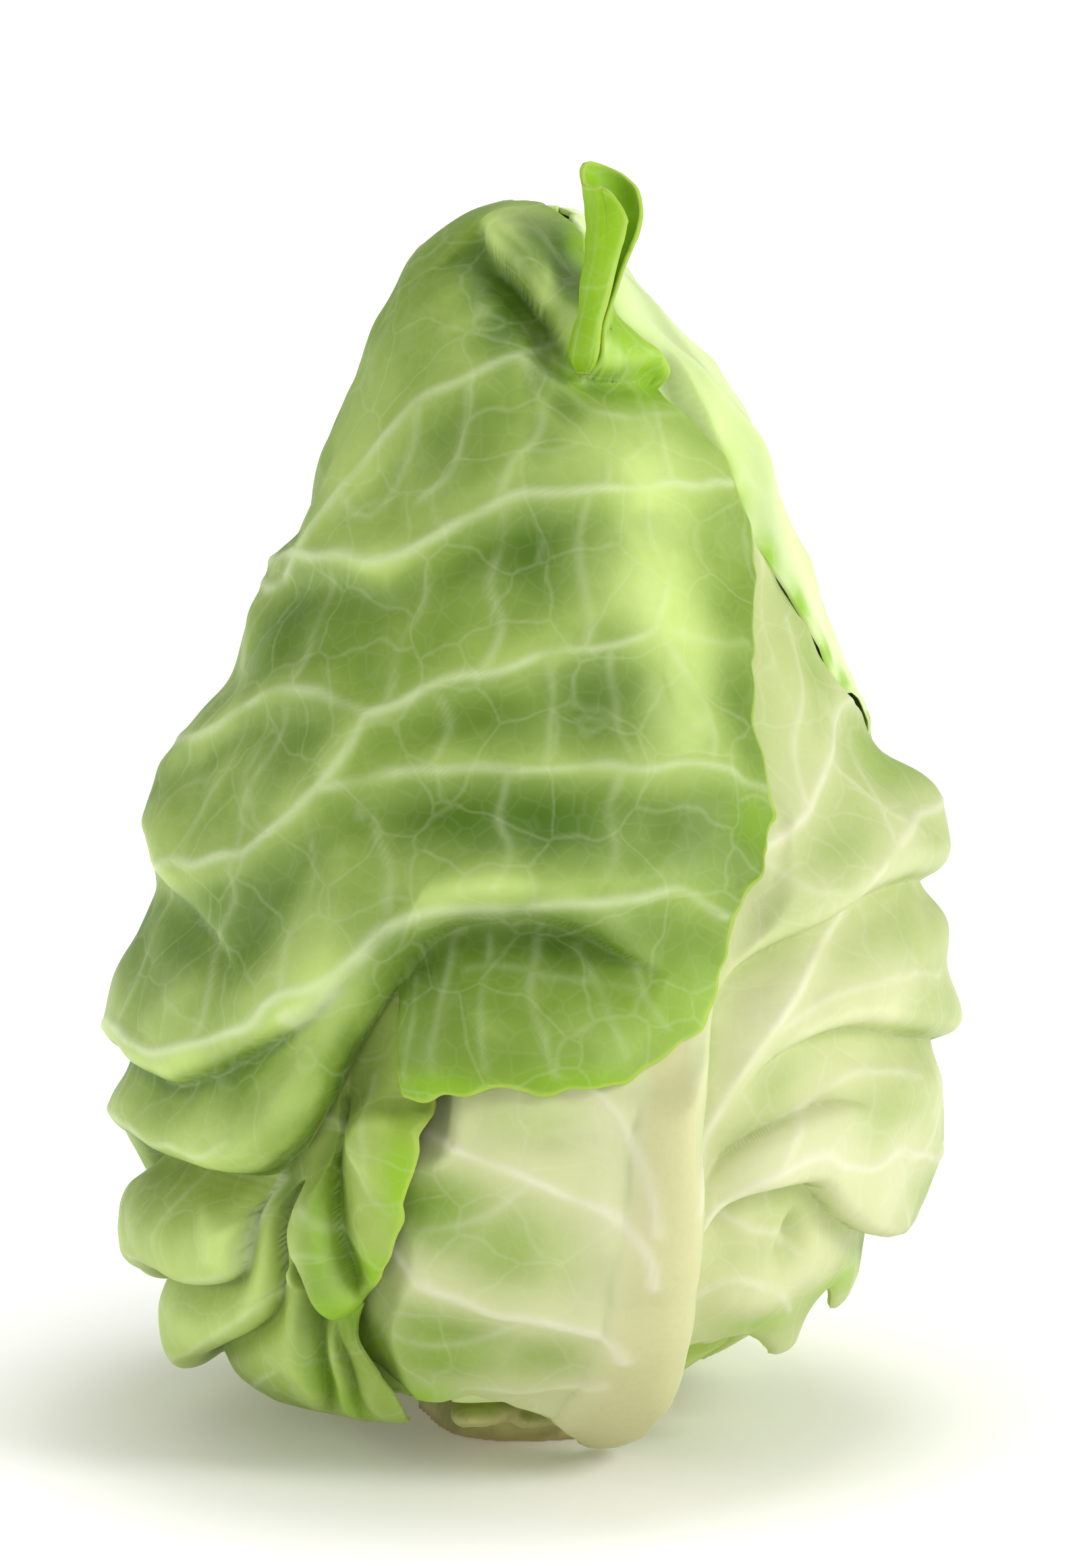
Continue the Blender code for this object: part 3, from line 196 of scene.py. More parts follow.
LOW_LEAF = {
    "crowd": (1.2, 1),
    "lift": 1.0,
    "bottom": (
        (-114, 8), (-102, 5), (-86, 4.1), (-70, 3.8), (-58, 4), (-47, 4.9), (-37, 6.8), (-27, 8.6),
    ),
    "right": (
        (-27, 8.6), (-25, 11.2), (-25, 14.2), (-27.4, 17), (-29, 19.2), (-27.6, 20.8), (-25.2, 22.4),
        (-22.6, 24.4), (-20.4, 26.4), (-19.6, 28.4), (-19, 30), (-17.6, 31.8), (-17.6, 33.4),
        (-16.2, 35.6), (-19, 39.5), (-23, 43),
    ),
    "top": ((-118, 31), (-95, 32), (-75, 33), (-58, 33.5), (-45, 35), (-38, 38), (-30, 42), (-23, 43)),
    "left": ((-114, 8), (-121, 19), (-118, 31)),
    "folds": (
        fold(0, 7, 30, 12, 6, (-125, 6, 0), (-112, 13, 0.8), (-106, 20.2, 1), (-98, 24.8, 1),
            (-88, 27.3, 1), (-75, 28.5, 1), (-60, 28.6, 1), (-48, 28.8, 1), (-42, 29.5, 1),
            (-37, 31.3, 1), (-33, 34.3, 1), (-30, 38.3, 1), (-26, 41.5, 1), (-22, 44, 0.5),
            (-18, 46.2, 0)),
        fold(2.8, 4.6, 4.6, 9, 4.5, (-122, 11.5, 0), (-112, 12.8, 0.6), (-98, 15, 0.9), (-90, 16.8, 1),
            (-80, 18.6, 1), (-70, 19.6, 1), (-60, 19.9, 1), (-52, 20.7, 1), (-47.5, 21.8, 1),
            (-45, 23.3, 1), (-44, 25.2, 1), (-43.5, 27.2, 1), (-42, 29, 0.8), (-41, 31, 0)),
        fold(2.6, 4.2, 3.8, 7, 4, (-122, 6.4, 0), (-112, 7, 0.6), (-100, 8, 1), (-90, 8.8, 1),
            (-80, 10, 1), (-70, 12, 1), (-60, 14.2, 1), (-50, 16.6, 1), (-44, 18.8, 1), (-41.3, 20.7, 1),
            (-40.6, 22.5, 1), (-40.6, 25, 1), (-40, 27, 1), (-38.3, 28.6, 0.7), (-36.3, 29.2, 0)),
        fold(1.4, 3.4, 2.4, 4, 3, (-44, 8, 0), (-39.5, 11.2, 0.8), (-37, 14, 1), (-35.6, 17, 1),
            (-35.8, 20, 1), (-36.2, 22.2, 1), (-37.4, 23.4, 0.8), (-39, 23.6, 0)),
        # The rounded foot of the ragged lobe, and the narrow folds under it.
        fold(1.6, 3.4, 3, 5, 3.6, (-39.6, 22.2, 0), (-37, 21.6, 0.7), (-35, 20.7, 1), (-33, 20, 1),
            (-30.6, 19.8, 1), (-28, 20.6, 1), (-26, 21.8, 0.8), (-23.6, 23.4, 0)),
        fold(1.2, 2.6, 2.2, 3.6, 3, (-36.6, 8.4, 0), (-34, 10.8, 0.8), (-32.2, 14.4, 1), (-32, 17, 0.9),
            (-32.6, 19.4, 0)),
        fold(1.8, 3.8, 2.8, 5, 3.6, (-26.8, 21.2, 0), (-28, 23, 1), (-29.2, 25.4, 1), (-30, 28.6, 1),
            (-31, 31.4, 1), (-32.2, 34.4, 1), (-33.4, 37.5, 0)),
    ),
    "pleats": (
        pleat(0.9, 1, 4, 2, 4, (-34, 31, 0), (-30, 33, 0.6), (-25, 31.5, 1), (-22, 30, 0.6), (-19, 29, 0)),
    ),
    "dents": (
        (-70, 24, 1.6, 14, 5), (-78, 12.6, 2.6, 12, 6), (-60, 8, 1, 10, 4), (-35, 25.5, 1.2, 4, 5),
        (-24, 28, 0.8, 4, 6), (-28.6, 12.4, 1.2, 3.6, 5),
    ),
}

RIB_LEAF = {
    "crowd": (0.85, 1.2),
    "lift": -1.0,
    "bottom": (
        (-33, 18.5), (-32, 16.5), (-30.5, 14.8), (-26, 12.8), (-20.5, 11.4), (-16.5, 11.4), (-13, 11.8),
        (-9, 10.8), (-4, 10), (0.5, 8.4), (5, 5.8), (10, 4), (17, 3.6), (22, 4.8), (24, 9.5), (25, 14),
        (28, 15), (31, 14.8), (34.5, 15.6), (38.5, 15.9), (43.5, 14.9), (48.5, 13.6), (52, 13.4),
        (54.6, 15), (56.6, 17.2), (59.5, 17.8), (64, 16.4), (68.5, 15.8), (71.6, 16.8), (76, 17.6),
        (82, 18.2), (92, 16.8), (108, 14.4), (125, 15),
    ),
    "right": ((125, 16), (132, 28), (131, 42), (122, 54), (106, 62)),
    "top": ((-10, 68), (12, 76), (36, 79), (58, 76.5), (82, 70), (106, 62)),
    "left": ((-33, 18.5), (-36, 30), (-31, 45), (-20, 58), (-10, 68)),
    "folds": (
        # The right flank of the midrib stands over the pleated half of the blade.
        fold(3.6, 2.6, 5, 6, 9, (30, 2, 0), (26.5, 7, 0.7), (24, 12, 1), (22.3, 18, 1), (21.3, 24, 1),
            (21, 30, 1), (21.8, 36, 1), (23.5, 41, 0.9), (26, 46, 0.6), (28, 50, 0.3), (30, 55, 0)),
        fold(3.4, 3, 4.5, 9, 8, (23, 40.5, 0), (28, 43.6, 0.7), (35, 45.1, 1), (45, 46.1, 1),
            (55, 47.2, 1), (65, 47.4, 1), (75, 46.9, 1), (85, 46, 1), (100, 44.5, 1), (118, 42.5, 0.5),
            (130, 41, 0)),
        fold(2.8, 2.6, 3.6, 7, 7, (27, 35.4, 0), (33, 37.6, 0.5), (40, 38.6, 0.9), (48, 38.7, 1),
            (55, 38, 1), (65, 36.7, 1), (75, 35.6, 1), (90, 34, 1), (110, 32, 0.6), (128, 30.5, 0)),
        fold(1.6, 2.2, 3, 5, 5, (51, 33, 0), (47, 33.7, 0.5), (42, 34, 1), (36, 33.6, 1), (30, 32.8, 1),
            (25, 31.5, 0.8), (21.5, 29.4, 0)),
        fold(2.6, 3.2, 3.4, 7, 6, (20.5, 23.5, 0), (25, 27.3, 0.8), (30, 28.5, 1), (38, 28.6, 1),
            (41, 28.1, 1), (45, 26.3, 1), (50, 24.7, 1), (60, 22.6, 1), (75, 21, 1), (90, 20.2, 0.8),
            (108, 19.4, 0.5), (124, 19, 0)),
    ),
    "pleats": (
        pleat(1.6, 0, 7, 7, 7, (6, 3, 1), (9, 12, 1), (11, 22, 1), (11.5, 32, 0.8), (14, 40, 0.5),
            (18, 50, 0)),
        pleat(1.8, 0.6, 7, 4, 7, (12.4, 23, 0), (11.6, 26, 0.9), (6.5, 28.8, 1), (1, 30, 1),
            (-5, 31.2, 1), (-10, 32.2, 1), (-16.5, 33.6, 1), (-24, 35.4, 0.5), (-32, 37.4, 0), flip=True),
        pleat(1.5, 1.1, 6, 3.5, 6, (10.4, 17.2, 0), (9.4, 18.9, 0.8), (7, 20.3, 1), (-2.5, 21, 1),
            (-12.5, 22.2, 1), (-20.5, 24.5, 1), (-26, 27, 0.6), (-33, 29.6, 0), flip=True),
        pleat(1.2, 0.9, 4.5, 3, 4.5, (8, 16, 0), (5, 15, 0.8), (0, 14.4, 1), (-6, 13.8, 0.8),
            (-13, 13.4, 0), flip=True),
        pleat(1.4, 1, 7, 3.5, 8, (30, 48, 0), (35, 50.8, 1), (40, 52.5, 1), (50, 55.3, 1), (58, 57.5, 1),
            (66, 59.6, 1), (78, 60.2, 0.8), (100, 59, 0)),
        pleat(1.3, 0.8, 4, 3, 5, (22, 32, 0), (26, 36.5, 0.8), (33, 41, 1), (40, 44, 1), (46, 46, 0.5),
            (52, 48, 0)),
    ),
    "dents": (
        (-5, 25.8, 1.8, 13, 6), (-14, 17.6, 1.6, 13, 6), (-20, 28.6, -2, 5, 5), (0, 33.6, -1.2, 7, 2.5),
        (39, 24.2, -5, 3.6, 5), (88, 51.5, 5, 10, 7), (88, 42.5, 2, 12, 5), (88, 26, 2.5, 14, 9),
        (50, 15, 3, 8, 5), (69, 17.4, 3.2, 9, 6), (60, 53, 1.4, 10, 7), (70, 33, 1.2, 12, 5),
        (56, 42.5, 1, 12, 5), (36, 20.5, 2, 7, 5), (100, 38, 1.4, 14, 6), (86, 59, 2.2, 9, 5),
        (76, 65, 2.2, 9, 5), (64, 70.6, 2, 9, 4),
    ),
}

# The tip of the front leaf is rolled up. Its spine runs from the turned-over corner up past the crown.
TIP_SPINE = (
    (5.4, -31.6, 180.2), (6.2, -33, 186.8), (7.6, -30.6, 193), (8.8, -27, 199.5), (9.1, -23.6, 206),
    (8, -21.4, 213.2),
)
TIP_RADIUS = (2.1, 1.8, 2.1, 2.5, 2.8, 2.5)
TIP_FLARE = (0.0, 0.0, 0.2, 1.0, 3.0, 5.5)
TIP_SEAM, TIP_END = 45.0, -285.0
TIP_FLARE_START = -140.0
# The rim: how far up the spine it is at each turn, tall at the back and low at the front.
TIP_RIM = (
    (-285, 0.6), (-262, 0.8), (-225, 0.93), (-180, 0.995), (-150, 1), (-110, 0.97), (-75, 0.92),
    (-30, 0.9), (0, 0.9), (25, 0.86), (45, 0.74),
)
TIP_HOOD = (-0.8, -1.5, 0.0)

# The heart fills what the wrapper leaves enclose.
HEART_SPAN = (11.0, 99.5)
HEART_GAP = 1.2
HEART_LEAVES = 5
HEART_RELIEF = 1.0
HEART_LEAST = 1.5
# Over the last climbs the inset changes to the gap under the crown.
HEART_CROWN, HEART_CROWN_SPAN = 88, 8
HEART_CROWN_GAP = 1.6

# The stalk is cut square and carries the stubs of leaves that were snapped off. A stub is its azimuth and
# climb on the skin, then its half width and half height.
STALK_RADIUS, STALK_HEIGHT = 20.0, 9.0
STALK_CENTRE = (-3.0, -6.0)
STALK_OVAL = 0.05
STUBS = ((-18.5, 7.6, 6.2, 2.8), (-6, 5, 5.2, 2.6), (8, 3.4, 5, 2.2), (62, 5, 6, 2.4), (100, 5, 6, 2.4))
STUB_INSET = 4.0
STUB_ROOT_HEIGHT = 4.2
STALK_VOXEL = 0.7

# Veins are (width, (azimuth, climb) ...) from the thick end to the thin one.
FRONT_VEINS = (
    (1.5, (-112, 66.5), (-100, 66.6), (-85, 67), (-70, 68.4), (-60, 72.5), (-50, 77), (-42, 80),
     (-37, 81.5), (-28, 83), (-20, 84), (-12, 84.8), (-8, 85)),
    (0.8, (-9, 85), (-4, 85.8), (0, 86.5)),
    (0.9, (-8, 85), (5, 83), (12, 81.5), (25, 80.8), (30, 81.2), (45, 81)),
    (1.8, (-120, 68), (-100, 68), (-85, 69), (-70, 70), (-48, 70.7), (-40, 70.6), (-32, 71.2),
     (-25, 72.5), (-18, 73.7), (-10, 75), (0, 75.5), (20, 75.8), (50, 75.8)),
    (1.6, (-120, 52), (-100, 54.6), (-90, 55), (-80, 55.8), (-70, 57.5), (-65, 59), (-58, 60), (-50, 61),
     (-42, 61.2), (-35, 60.8), (-32, 60.2)),
    (1.5, (-32, 60.2), (-20, 62.5), (-10, 64), (0, 65), (15, 65.6), (20, 66.5)),
    (0.8, (20, 66.5), (24, 70), (27, 71.5)),
    (0.8, (20, 66.5), (30, 65.5), (42, 64.8)),
    (0.8, (20, 66.5), (25, 63), (28, 60.7), (26, 57)),
    (1.8, (-110, 46), (-95, 46.8), (-80, 47), (-70, 47.5), (-60, 48.5), (-52, 49.6), (-48, 50.5),
     (-42, 53), (-37, 55.5), (-34, 58), (-32, 60.2)),
    (1.4, (-37, 55), (-31, 56), (-25, 56.8), (-15, 57.2), (5, 57.3), (27, 56.9), (33, 55.7), (39, 55.2)),
    (1.7, (-36, 39.8), (-33, 40.9), (-30, 43), (-26, 45.3), (-21, 46.7), (-15, 47.5), (-8, 48), (0, 48.2),
     (8, 48.4), (15, 48.8), (20, 48.6), (26, 47)),
    (1.9, (-112, 31), (-100, 33), (-90, 34.8), (-80, 36), (-70, 36), (-60, 35.9), (-50, 37.6),
     (-42, 39.6), (-36, 41.3), (-32, 42.4), (-28, 44.2), (-24, 46)),
    (1.3, (-105, 27), (-90, 29), (-80, 29.8), (-70, 30), (-60, 29.8), (-50, 30.2), (-44, 31.5)),
    (0.62, (-20.5, 43.6), (-19.6, 40.5), (-19.2, 37)),
    (0.68, (-15, 46), (-16, 41.5), (-15.5, 37.2)),
    (0.68, (-9, 46.2), (-9.6, 42), (-8.2, 37.8)),
    (0.72, (-2, 46.2), (-3, 43), (-1, 40), (0.6, 37.6)),
    (0.72, (4, 45.8), (7, 42.5), (10, 38.6)),
    (0.66, (12, 44.4), (14, 41.5), (15.5, 40)),
    (0.6, (-13, 44), (-6, 44.6), (0, 43.8), (8, 43.6), (13, 43)),
    (0.8, (-8, 49.4), (-6, 52), (-8, 54.5), (-7, 57.2)),
    (0.8, (8, 50), (10, 52.5), (9, 55), (11, 57.2)),
    (0.7, (-22, 47.3), (-23, 50), (-27, 52.5), (-30, 56)),
    (0.7, (-20, 62.5), (-18, 59.8), (-19, 57.2)),
    (0.7, (-2, 65), (0, 61.5), (-2, 57.4)),
    (0.7, (10, 65.5), (12, 62), (11, 60), (13, 57.2)),
    (0.8, (-12, 64), (-10, 67), (-12, 70.5), (-10, 75)),
    (0.8, (6, 65.2), (7, 68.5), (5, 71.5), (7, 75.5)),
    (0.7, (-28, 61), (-29, 64.5), (-26, 68), (-27, 72)),
    (0.7, (24, 70), (22, 72.5), (23, 75.8)),
    (0.8, (-50, 61), (-49, 64), (-52, 67), (-50, 70.6)),
    (0.7, (-75, 56.6), (-74, 60), (-78, 64), (-76, 69.6)),
    (0.7, (-63, 48.2), (-64, 51), (-61, 55), (-62, 59.4)),
    (0.7, (-50, 50), (-52, 54), (-50, 58), (-51, 61)),
    (0.8, (-30, 75), (-24, 77), (-22, 80), (-24, 83.5)),
    (0.8, (-12, 74.8), (-8, 77.5), (-4, 79), (-3, 82), (-6, 84.6)),
    (0.7, (12, 75.7), (13, 78), (11, 81.5)),
    (0.7, (30, 75.8), (30, 78), (31, 81)),
    (0.8, (-55, 75), (-48, 73.5), (-42, 73.8), (-38, 76), (-36, 81.4)),
    (0.9, (-75, 36), (-72, 39.5), (-75, 43), (-73, 47.2)),
    (0.8, (-52, 37.2), (-50, 40), (-53, 43.5), (-50, 47), (-51, 49.6)),
    (0.7, (-36, 41.4), (-38, 45), (-36, 48.5), (-40, 53.4)),
    (0.8, (-20, 94.4), (-10, 94.6), (-2, 93.4), (5, 91.4)),
    (0.7, (10, 84), (14, 85.5), (18, 85.2), (22, 86.4)),
    (0.7, (18, 85.2), (22, 83.9), (30, 84)),
    (1.6, (-196, 62), (-175, 60), (-155, 57), (-135, 56), (-122, 58)),
    (1.6, (-194, 38), (-175, 36.5), (-155, 35), (-135, 35.5), (-124, 38)),
    (1.5, (-192, 82), (-170, 78), (-148, 75), (-128, 74.6), (-118, 76)),
    (1.4, (-185, 18), (-165, 20), (-145, 20), (-126, 22)),
    (3.2, (-120, 3), (-122, 16), (-124, 35), (-122, 55), (-118, 75), (-108, 92)),
)
SIDE_VEINS = (
    (3, (148, 3), (149, 18), (150, 45), (146, 70), (125, 92)),
    (1.6, (147, 38), (132, 47), (118, 56), (104, 64), (88, 73), (66, 82), (45, 88)),
    (1.5, (148, 56), (130, 66), (112, 74), (92, 82), (70, 89)),
    (1.5, (147, 20), (136, 27), (128, 34), (118, 42)),
    (1.3, (150, 40), (165, 50), (180, 58), (198, 64)),
    (1.3, (150, 22), (165, 30), (182, 36), (200, 40)),
    (1.3, (148, 60), (165, 70), (182, 76), (198, 80)),
    (0.8, (88, 73), (80, 75), (72, 74.4), (64, 75.5), (56, 79)),
    (0.8, (66, 82), (58, 80.6), (50, 81.5), (42, 84)),
    (0.7, (76, 78), (74, 84), (66, 89), (58, 92)),
)
LOW_VEINS = (
    (1, (-38, 33), (-34, 33.4), (-31, 33.2), (-27, 31.8), (-24, 29.8), (-21.5, 28.4)),
    (0.8, (-27.5, 37), (-25.6, 34), (-24, 31)),
    (0.8, (-37, 28.6), (-33, 27.8), (-30, 26.8), (-26, 25)),
    (1.4, (-41.6, 28.6), (-43, 27), (-44, 25), (-45.4, 23.4), (-48.5, 22.2), (-53, 21.3), (-60, 20.6),
     (-70, 20.3), (-80, 19.3), (-92, 17.4), (-104, 15)),
    (1.1, (-39, 27.5), (-39.6, 25), (-39.8, 22.4), (-41, 20.9), (-44, 19.7), (-50, 18), (-60, 15.8),
     (-70, 13.8), (-80, 12)),
    (0.8, (-38, 24.6), (-35.6, 24.8), (-33, 25.2), (-31, 25)),
    (0.8, (-60, 20.6), (-62, 24), (-58, 27.6)),
    (0.8, (-80, 19.3), (-78, 23), (-82, 26.6)),
    (0.9, (-100, 6), (-90, 6.8), (-78, 7.4), (-64, 9), (-54, 11.4), (-46, 14)),
)
RIB_VEINS = (
    (2, (9.4, 18.6), (7, 20.3), (-2.5, 21), (-12.5, 22.2), (-20.5, 24.5), (-28, 28), (-34, 31)),
    (2, (12.4, 24.6), (11.4, 26.4), (6.5, 28.8), (1, 30), (-5, 31.2), (-10, 32.2), (-16.5, 33.6),
     (-28, 36.6)),
    (1.7, (12.5, 27.8), (11, 32.4), (8, 35.5), (3, 38)),
    (1.2, (8, 16), (5, 15), (0, 14.4), (-5, 13.9), (-14, 13.3)),
    (0.7, (-2, 30.6), (-8, 28.6), (-12, 27.4), (-18, 27)),
    (0.7, (-3, 21), (-8, 19.4), (-14, 18.6), (-22, 19)),
    (1.6, (17, 43), (24, 47.2), (31, 50.2), (45, 53.2), (55, 55.4), (62, 57.3), (70, 59), (80, 59.4),
     (96, 58)),
    (1.7, (19.5, 29), (22, 32.6), (26, 36), (31, 39.2), (36, 41.8), (42, 44), (48, 46.2), (60, 49.4),
     (75, 50.6), (95, 49.5)),
    (1.7, (20.5, 24.4), (24, 28), (31, 30.4), (38, 31), (44, 29.8), (50, 29), (58, 29), (66, 28),
     (80, 27), (100, 26)),
    (1.4, (21.5, 20), (28, 22.2), (36, 21.2), (45, 18.2)),
    (1.2, (25, 27), (30, 25.6), (36, 25), (42, 23)),
    (1.2, (30, 30.2), (36, 33.4), (44, 35.4), (54, 35.4), (66, 34)),
    (1, (31, 39.2), (38, 40.6), (48, 41.4), (60, 41.2), (76, 40)),
    (1.3, (17, 42), (20, 49), (25, 56), (32, 63), (42, 69), (52, 73)),
    (0.9, (45, 53.2), (50, 58), (58, 62), (62, 66)),
    (0.9, (58, 56), (64, 52), (72, 49.6)),
    (0.8, (34, 50.6), (40, 48.6), (46, 47.6)),
    (0.8, (60, 49.4), (66, 54), (74, 58.8)),
    (0.8, (88, 50), (94, 54), (104, 57)),
    (0.9, (60, 29), (66, 24.6), (76, 22)),
    (0.9, (70, 27.8), (78, 31), (86, 33)),
    (1.2, (100, 50), (112, 48), (126, 44)),
    (1.2, (100, 36), (114, 34), (128, 31)),
)

# Patches are (azimuth, climb, half width, half height, strength), and each list drives one tint.
# The front leaf's deep patches are partly its darker green and partly painted shadow: the ones under and
# beside the rolled crest near the tip.
FRONT_DEEP_AND_SHADOW = (
    (-20, 79, 16, 5, 0.6), (-4, 72, 16, 5, 0.9), (-14, 71, 10, 4, 0.6), (8, 62, 12, 4.5, 0.9),
    (-8, 60.5, 14, 3, 0.6), (-60, 65, 18, 6, 0.6), (-5, 53.6, 26, 3.6, 0.95), (20, 53, 12, 4, 0.6),
    (-72, 42, 20, 6, 0.6), (-46, 47, 12, 7, 0.7), (0, 46.4, 20, 2.8, 1), (-20, 45, 8, 3, 0.9),
    (-88, 52, 16, 7, 0.5), (-48, 57, 14, 5, 0.5), (-10, 92.5, 14, 4, 0.8), (4, 91, 9, 5, 1),
    (-16, 88.2, 9, 3, 1), (-6, 86.4, 6, 2.4, 1), (-24, 90, 9, 2, 0.8), (-14, 87, 10, 4, 1),
    (-4, 84.6, 6, 3, 0.9), (-150, 48, 30, 20, 0.4), (-2, 79.6, 8, 3, 0.5), (-170, 70, 20, 16, 0.4),
    (-8, 41, 16, 5, 0.2), (4, 82, 7, 2, 0.8), (36, 60, 6, 6, 0.4), (-90, 70, 12, 5, 0.4),
)
# The front leaf's pale patches are partly painted highlight: along the rolled crest near the tip and down
# the right side, where the light falls.
FRONT_PALE_AND_HIGHLIGHT = (
    (-34, 94.8, 8, 1.2, 0.8), (-22, 93.6, 6, 1.3, 0.8), (-12, 92, 5, 1.3, 0.8), (-3, 89.8, 4, 1.4, 0.8),
    (3, 87.4, 3, 1.4, 0.7), (22, 68, 12, 26, 0.6), (10, 80, 16, 8, 0.4), (-25, 95.5, 26, 4, 0.5),
    (-64, 31, 22, 4, 0.4), (-55, 75, 16, 6, 0.25), (-34, 43, 10, 5, 0.35), (10, 39, 12, 4, 0.3),
    (-90, 60, 14, 6, 0.3),
)
SIDE_DEEP = (
    (70, 74, 12, 8, 0.4), (60, 86, 16, 7, 0.4), (130, 60, 20, 18, 0.4), (178, 50, 18, 24, 0.5),
    (120, 84, 24, 8, 0.4),
)
SIDE_PALE = ((148, 30, 14, 30, 0.5), (60, 79, 10, 6, 0.3))
LOW_DEEP = (
    (-70, 25, 16, 5, 0.4), (-31, 25, 4, 10, 0.7), (-40, 28.4, 3, 3, 0.8), (-36, 17, 3, 8, 0.6),
    (-60, 10, 22, 4, 0.4), (-29, 36, 4, 8, 0.5),
)
LOW_PALE = ((-70, 17, 20, 2.4, 0.5), (-60, 22, 20, 2.4, 0.3), (-46, 24, 3, 5, 0.4), (-90, 9, 16, 4, 0.4))
RIB_DEEP = (
    (-16, 28.2, 10, 3.4, 1), (-6, 26, 10, 4, 0.7), (-16, 18.6, 12, 3.6, 1), (-2, 17.6, 9, 2.6, 0.6),
    (-27, 24, 8, 8, 0.6), (-26, 16, 7, 4, 0.8), (-2, 34.4, 7, 1.6, 0.3), (52, 50.5, 18, 6, 0.5),
    (84, 54, 24, 9, 0.8), (66, 62, 14, 9, 0.55), (40, 60, 14, 9, 0.4), (88, 42, 20, 5, 0.5),
    (86, 24, 20, 6, 0.7), (56, 32.4, 16, 3, 0.4), (50, 17.4, 20, 3, 0.5), (60, 43.6, 16, 3, 0.4),
    (38, 46.8, 9, 3, 0.35), (110, 40, 20, 24, 0.7), (38, 26.4, 6, 3, 0.35), (34, 36.2, 7, 2.5, 0.4),
    (72, 37.6, 16, 3, 0.45),
)
RIB_PALE = (
    (14, 22, 9, 34, 0.9), (30, 19, 8, 5, 0.5), (38, 30, 10, 7, 0.4), (28, 43, 8, 9, 0.4),
    (60, 27, 14, 3, 0.4), (4, 11, 12, 5, 0.7), (42, 21, 10, 4, 0.5), (2, 36, 14, 5, 0.7),
    (-14, 35, 10, 3, 0.6),
)

MIDRIB = (
    (12, 2, 12), (13.5, 10, 10.5), (14.3, 20, 8), (14.6, 28, 6), (15.5, 35, 4.6), (17.5, 42, 3.4),
    (21, 50, 2.2), (27, 60, 1.2),
)

FRONT_BRIGHT = (
    (24, 86, 13, 3.4, 0.9), (36, 84, 12, 2.4, 0.9), (50, 82, 8, 2.6, 0.7), (8, 84, 5, 1.6, 0.7),
    (14, 91, 6, 4, 0.9), (-15, 36.5, 9, 1.2, 0.7), (4, 37, 9, 1.2, 0.6), (34, 53, 6, 2, 0.3),
    (22, 41, 12, 4, 0.35),
)
SIDE_BRIGHT = (
    (30, 83, 10, 4, 0.6), (50, 77, 8, 1.6, 0.8), (24, 90, 12, 4, 0.4), (86, 60, 6, 1.2, 0.9),
    (79, 62.6, 4, 1.4, 0.9), (73, 66.4, 4, 1.6, 0.9), (66, 70.4, 5, 1.5, 0.9), (58, 74, 5, 1.4, 0.9),
)
SIDE_ROLLED = ((84, 60, 9, 4, 1), (72, 67, 9, 4, 1), (60, 73, 9, 4, 1), (44, 78, 9, 4, 1))
LOW_BRIGHT = (
    (-24, 24, 4, 1.6, 0.9), (-19.5, 30, 2.4, 4, 0.9), (-30, 21, 4, 2, 0.8), (-36, 12, 4, 4, 0.6),
    (-70, 5, 30, 2, 0.6), (-31, 25, 2, 6, 0.5),
)
RIB_BRIGHT = (
    (-31, 17, 5, 3, 0.8), (-22, 12.4, 8, 1.6, 0.8), (40, 18, 10, 1.6, 0.6), (62, 19, 14, 1.4, 0.6),
    (86, 19, 16, 2, 0.5),
)

# Where a leaf's outline is a roll and not a free margin.
FRONT_ROLLED = (
    (-110, 14, 14, 9, 1), (-95, 25, 14, 5, 1), (-78, 28, 12, 5, 1), (-60, 28.5, 12, 5, 1),
    (-46, 29.5, 9, 5, 1), (-36, 33, 6, 5, 1), (-29.5, 38.5, 5, 5, 1), (-25.5, 42, 4, 3, 1),
)
LOW_ROLLED = ((-31, 8, 8, 2.5, 1), (-25.4, 12, 4, 4, 1), (-27.6, 17, 3, 3.4, 1), (-45, 5, 10, 2, 1))

# What each leaf's fine mesh and finish take. "tints" are its base, deep and pale colours, the deep one also
# painted shade and the pale one also a painted highlight, and "shade" is how dark the painted shade in its
# creases gets.
FINISHES = {
    "front_leaf": {
        "fine": (372, 262), "veins": FRONT_VEINS, "deep": FRONT_DEEP_AND_SHADOW, "pale": FRONT_PALE_AND_HIGHLIGHT,
        "bright": FRONT_BRIGHT, "rolled": FRONT_ROLLED, "shade": 0.8, "slot": "leaf_green",
        "material": "outer_leaf_green", "tints": ("leaf", "leaf_deep_and_shade", "leaf_pale"),
    },
    "side_leaf": {
        "fine": (230, 210), "veins": SIDE_VEINS, "deep": SIDE_DEEP, "pale": SIDE_PALE,
        "bright": SIDE_BRIGHT, "rolled": SIDE_ROLLED, "shade": 0.4, "slot": "leaf_side",
        "material": "side_leaf_green", "tints": ("inner", "leaf_deep_and_shade", "leaf_pale"),
    },
    "low_leaf": {
        "fine": (280, 270), "veins": LOW_VEINS, "deep": LOW_DEEP, "pale": LOW_PALE,
        "bright": LOW_BRIGHT, "rolled": LOW_ROLLED, "shade": 0.8, "slot": "leaf_low",
        "material": "low_leaf_green", "tints": ("low", "leaf_deep_and_shade", "leaf_pale"),
    },
    "rib_leaf": {
        "fine": (330, 296), "veins": RIB_VEINS, "deep": RIB_DEEP, "pale": RIB_PALE,
        "bright": RIB_BRIGHT, "rolled": (), "shade": 0.3, "slot": "leaf_pale",
        "material": "rib_leaf_pale", "tints": ("rib_blade", "rib_green_and_shade", "rib_pale_and_highlight"),
    },
}
